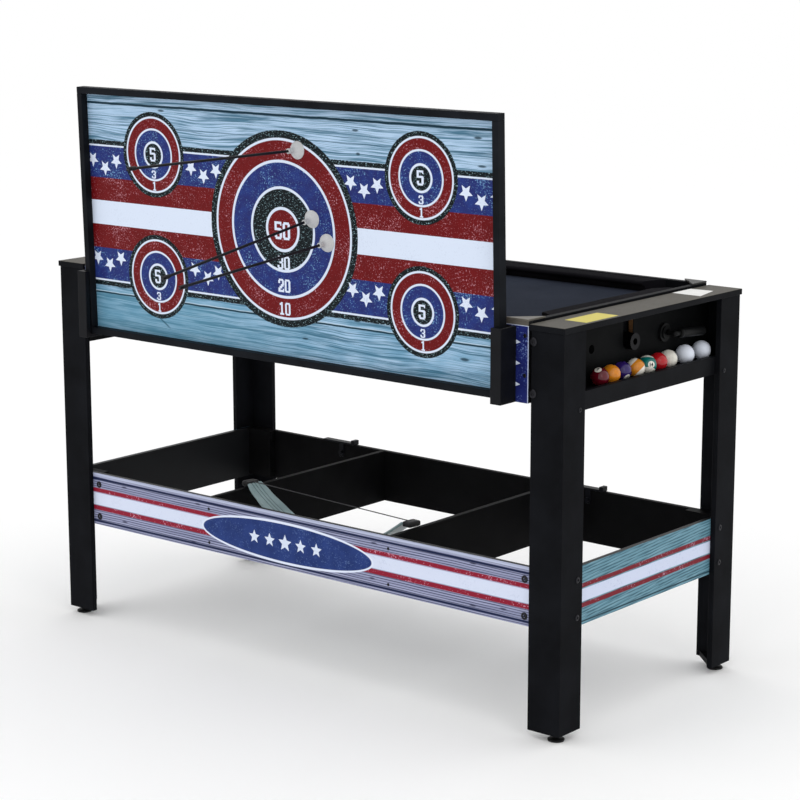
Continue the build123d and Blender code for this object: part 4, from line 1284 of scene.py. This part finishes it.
def make_bow():
    bm = bmesh.new()
    widths = [(0.050, 0.013), (0.100, 0.0235), (0.150, 0.028), (0.170, 0.029), (0.215, 0.025), (0.252, 0.0165)]
    amax = math.asin(HALF / RB)
    for s in (-1, 1):
        rows = []
        n = 40
        for i in range(n + 1):
            X = 0.052 + (HALF - 0.002 - 0.052) * i / n
            a = math.asin(X / RB)
            hw = spline(widths, X)
            ring = []
            cols = 36
            def pos(off, y):
                return BOWM @ Vector((s * (RB - off) * math.sin(a), y, ZC - (RB - off) * math.cos(a)))
            edge = 0.0022
            for k in range(cols + 1):
                u = -1 + 2 * k / cols
                y = u * hw
                # inner face with three lengthwise grooves and a raised rim
                off = 0.0052
                e = hw - abs(y)
                if e < edge:
                    off = 0.0030 + 0.0028 * math.sqrt(max(0.0, 1 - (1 - e / edge) ** 2))
                elif e < 0.0050:
                    off = 0.0058
                for g in (0.0, 0.0087, -0.0087):
                    dd = abs(y - g)
                    if dd < 0.0016:
                        off -= 0.0013 * (1 - (dd / 0.0016) ** 2)
                ring.append(bm.verts.new(pos(off, y)))
            for k in range(cols, -1, -1):
                u = -1 + 2 * k / cols
                y = u * hw
                e = hw - abs(y)
                off = 0.0 if e >= edge else 0.0030 - 0.0030 * math.sqrt(max(0.0, 1 - (1 - e / edge) ** 2))
                ring.append(bm.verts.new(pos(off, y)))
            rows.append(ring)
        m = len(rows[0])
        for r0, r1 in zip(rows, rows[1:]):
            for k in range(m):
                bm.faces.new((r0[k], r0[(k + 1) % m], r1[(k + 1) % m], r1[k]))
        bm.faces.new(rows[0])
        bm.faces.new(list(reversed(rows[-1])))
    bmesh.ops.remove_doubles(bm, verts=bm.verts, dist=1e-6)
    link("vis_bow_limbs", finish_bm(bm, "bow_limbs", 40), "bow", "bow_teal", ("bow_limbs",), M["bow_teal"])

    # riser grip with finger waves, and the two tip caps
    bm = bmesh.new()
    n, seg = 44, 28
    rows = []
    for i in range(n + 1):
        t = i / n
        X = -0.056 + 0.112 * t
        endr = min(1.0, math.sqrt(max(0.0, 1 - (1 - min(t, 1 - t) / 0.06) ** 2))) if min(t, 1 - t) < 0.06 else 1.0
        hy = 0.0126 * (0.80 + 0.20 * endr) * (1 - 0.05 * math.cos(2 * math.pi * 4 * t))
        hz = 0.0126 * (0.80 + 0.20 * endr) * (1 - 0.03 * math.cos(2 * math.pi * 4 * t))
        zc = TIPZ - SAG + 0.008
        ring = []
        for k in range(seg):
            a = 2 * math.pi * k / seg
            c_, s_ = math.cos(a), math.sin(a)
            p = 0.62
            ring.append(bm.verts.new(BOWM @ Vector((X, hy * math.copysign(abs(c_) ** p, c_), zc + hz * math.copysign(abs(s_) ** p, s_)))))
        rows.append(ring)
    for r0, r1 in zip(rows, rows[1:]):
        for k in range(seg):
            bm.faces.new((r0[k], r0[(k + 1) % seg], r1[(k + 1) % seg], r1[k]))
    bm.faces.new(list(reversed(rows[0])))
    bm.faces.new(rows[-1])
    for s in (-1, 1):
        rows = []
        prof = [(-0.0105, 0.90, 0.80), (-0.0098, 0.97, 0.94), (-0.0085, 1.0, 1.0), (-0.0030, 1.0, 1.0), (-0.0024, 0.985, 0.95), (-0.0014, 0.985, 0.95), (-0.0008, 1.0, 1.0), (0.0045, 1.0, 1.0),
                (0.0085, 0.985, 0.97), (0.0100, 0.93, 0.86), (0.0105, 0.84, 0.70)]
        for t, ky, kz in prof:
            ring = []
            for k in range(28):
                a = 2 * math.pi * k / 28
                c_, s_ = math.cos(a), math.sin(a)
                p = 0.35
                ring.append(bm.verts.new(BOWM @ Vector((s * (HALF + 0.0085 + t), 0.0169 * ky * math.copysign(abs(c_) ** p, c_), TIPZ - 0.0004 + 0.0059 * kz * math.copysign(abs(s_) ** p, s_)))))
            rows.append(ring)
        for r0, r1 in zip(rows, rows[1:]):
            for k in range(28):
                bm.faces.new((r0[k], r0[(k + 1) % 28], r1[(k + 1) % 28], r1[k]))
        bm.faces.new(list(reversed(rows[0])))
        bm.faces.new(rows[-1])
    link("vis_bow_grip_and_tips", finish_bm(bm, "bow_grip_and_tips", 45), "bow", "bow_black", ("bow_grip_and_tips",), M["bow_black"])

    # string: taut from cap to cap
    cu = bpy.data.curves.new("bow_string", "CURVE")
    cu.dimensions = "3D"
    cu.bevel_depth = 0.0011
    cu.bevel_resolution = 3
    cu.use_fill_caps = True
    sp = cu.splines.new("NURBS")
    X = [-0.2385, -0.15, -0.05, 0.05, 0.15, 0.2385]
    sp.points.add(len(X) - 1)
    for p, x in zip(sp.points, X):
        q = BOWM @ Vector((x, 0, TIPZ + 0.0040))
        p.co = (q.x, q.y, q.z, 1)
    sp.use_endpoint_u = True
    sp.order_u = 3
    sp.resolution_u = 6
    ob = bpy.data.objects.new("vis_bow_string", cu)
    SCENE.collection.objects.link(ob)
    cu.materials.append(M["bow_string"])
    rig.ride(ob, "bow")
    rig.replaces(ob, "bow_string")
    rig.slot(ob, "bow_string")
    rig.cord(ob, exit=tuple(BOWM @ Vector((-0.2385, 0, TIPZ + 0.0040))), length=0.477, diameter=0.0022, far_end="object", stiffness="medium", lay="taut")


def make_labels():
    """Two blank paper labels left on the right cap."""
    lo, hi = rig.box("header_cap_right")
    for nm, pts, m in (("blank_label_yellow", [(0.6350, -0.2310), (0.6850, -0.2310), (0.6850, -0.1245), (0.6350, -0.1245)], "label_yellow"),
                       ("blank_label_white", [(0.6130, 0.1720), (0.6800, 0.1720), (0.6640, 0.2460), (0.6130, 0.2400)], "label_white")):
        bm = bmesh.new()
        prism(bm, pts, lambda x, y, d: Vector((x, y, hi.z + d)), (-0.00005, 0.00012))
        link(nm, finish_bm(bm, nm, 30), "frame", "black_laminate", (), M[m])


# ------------------------------------------------------------------ run it all
M["digit_black"] = mat_plastic("digit_black", (24, 24, 26), rough=0.2)
M["tt_white"] = mat_plastic("tt_white", (224, 230, 242), rough=0.45, spec=0.4, var=1.02, peel=0.04)
make_boards()
make_feet()
make_screws("frame_screws")
make_screws("body_screws")
make_lock_pins()
make_cushions()
make_cloth()
make_balls()
make_target_print()
make_stretcher_print()
make_arrows()
make_bow()
make_labels()


# ---------------------------------------------------------------------- stage
def make_stage():
    bm = bmesh.new()
    bmesh.ops.create_grid(bm, x_segments=2, y_segments=2, size=14.0)
    fl = bpy.data.objects.new("floor", bpy.data.meshes.new("floor"))
    bm.to_mesh(fl.data)
    bm.free()
    SCENE.collection.objects.link(fl)
    n = Net("floor_white", rough=0.9, spec=0.0, base=(0.999, 0.999, 0.999, 1.0))
    fl.data.materials.append(n.mat)
    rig.stage(fl)
    w = bpy.data.worlds.new("studio")
    SCENE.world = w
    w.use_nodes = True
    bg = w.node_tree.nodes["Background"]
    bg.inputs[0].default_value = (1, 1, 1, 1)
    bg.inputs[1].default_value = 1.0

    def area(name, loc, target, size, power, col=(1, 1, 1)):
        d = bpy.data.lights.new(name, "AREA")
        d.shape = "RECTANGLE"
        d.size, d.size_y = size
        d.energy = power
        d.color = col
        o = bpy.data.objects.new(name, d)
        SCENE.collection.objects.link(o)
        o.location = loc
        o.rotation_mode = "QUATERNION"
        o.rotation_quaternion = (Vector(target) - Vector(loc)).to_track_quat("-Z", "Y")
        return o

    area("key", (-1.6, -4.2, 3.6), (0, 0, 0.7), (2.6, 2.0), 14)
    area("fill", (4.2, -1.8, 2.6), (0, 0, 0.6), (0.7, 2.2), 7)
    area("top", (0.2, 0.6, 4.2), (0, 0, 0.6), (3.2, 2.0), 8)


make_stage()

# --------------------------------------------------------------------- camera
yaw, pitch, roll = math.radians(39.788), math.radians(11.725), math.radians(-0.042)
back = Vector((math.sin(yaw) * math.cos(pitch), -math.cos(yaw) * math.cos(pitch), math.sin(pitch)))
right = (-back).cross(Vector((0, 0, 1))).normalized()
up = right.cross(-back)
right, up = right * math.cos(roll) + up * math.sin(roll), up * math.cos(roll) - right * math.sin(roll)
cam = bpy.data.cameras.new("camera")
cam.sensor_width = 36.0
cam.lens = 2291.34 * 36.0 / 800.0
cam.clip_start, cam.clip_end = 0.1, 100.0
co = bpy.data.objects.new("camera", cam)
SCENE.collection.objects.link(co)
m = Matrix.Identity(4)
for i in range(3):
    m[i][0], m[i][1], m[i][2] = right[i], up[i], back[i]
m.translation = Vector((3.1274, -3.7098, 1.5446))
co.matrix_world = m
SCENE.camera = co
SCENE.view_settings.view_transform = "Standard"
SCENE.view_settings.look = "None"

with open("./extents.json", "w") as f:
    json.dump({"cad": CAD_BOX, "visual": [list(v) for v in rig.bounds()]}, f)
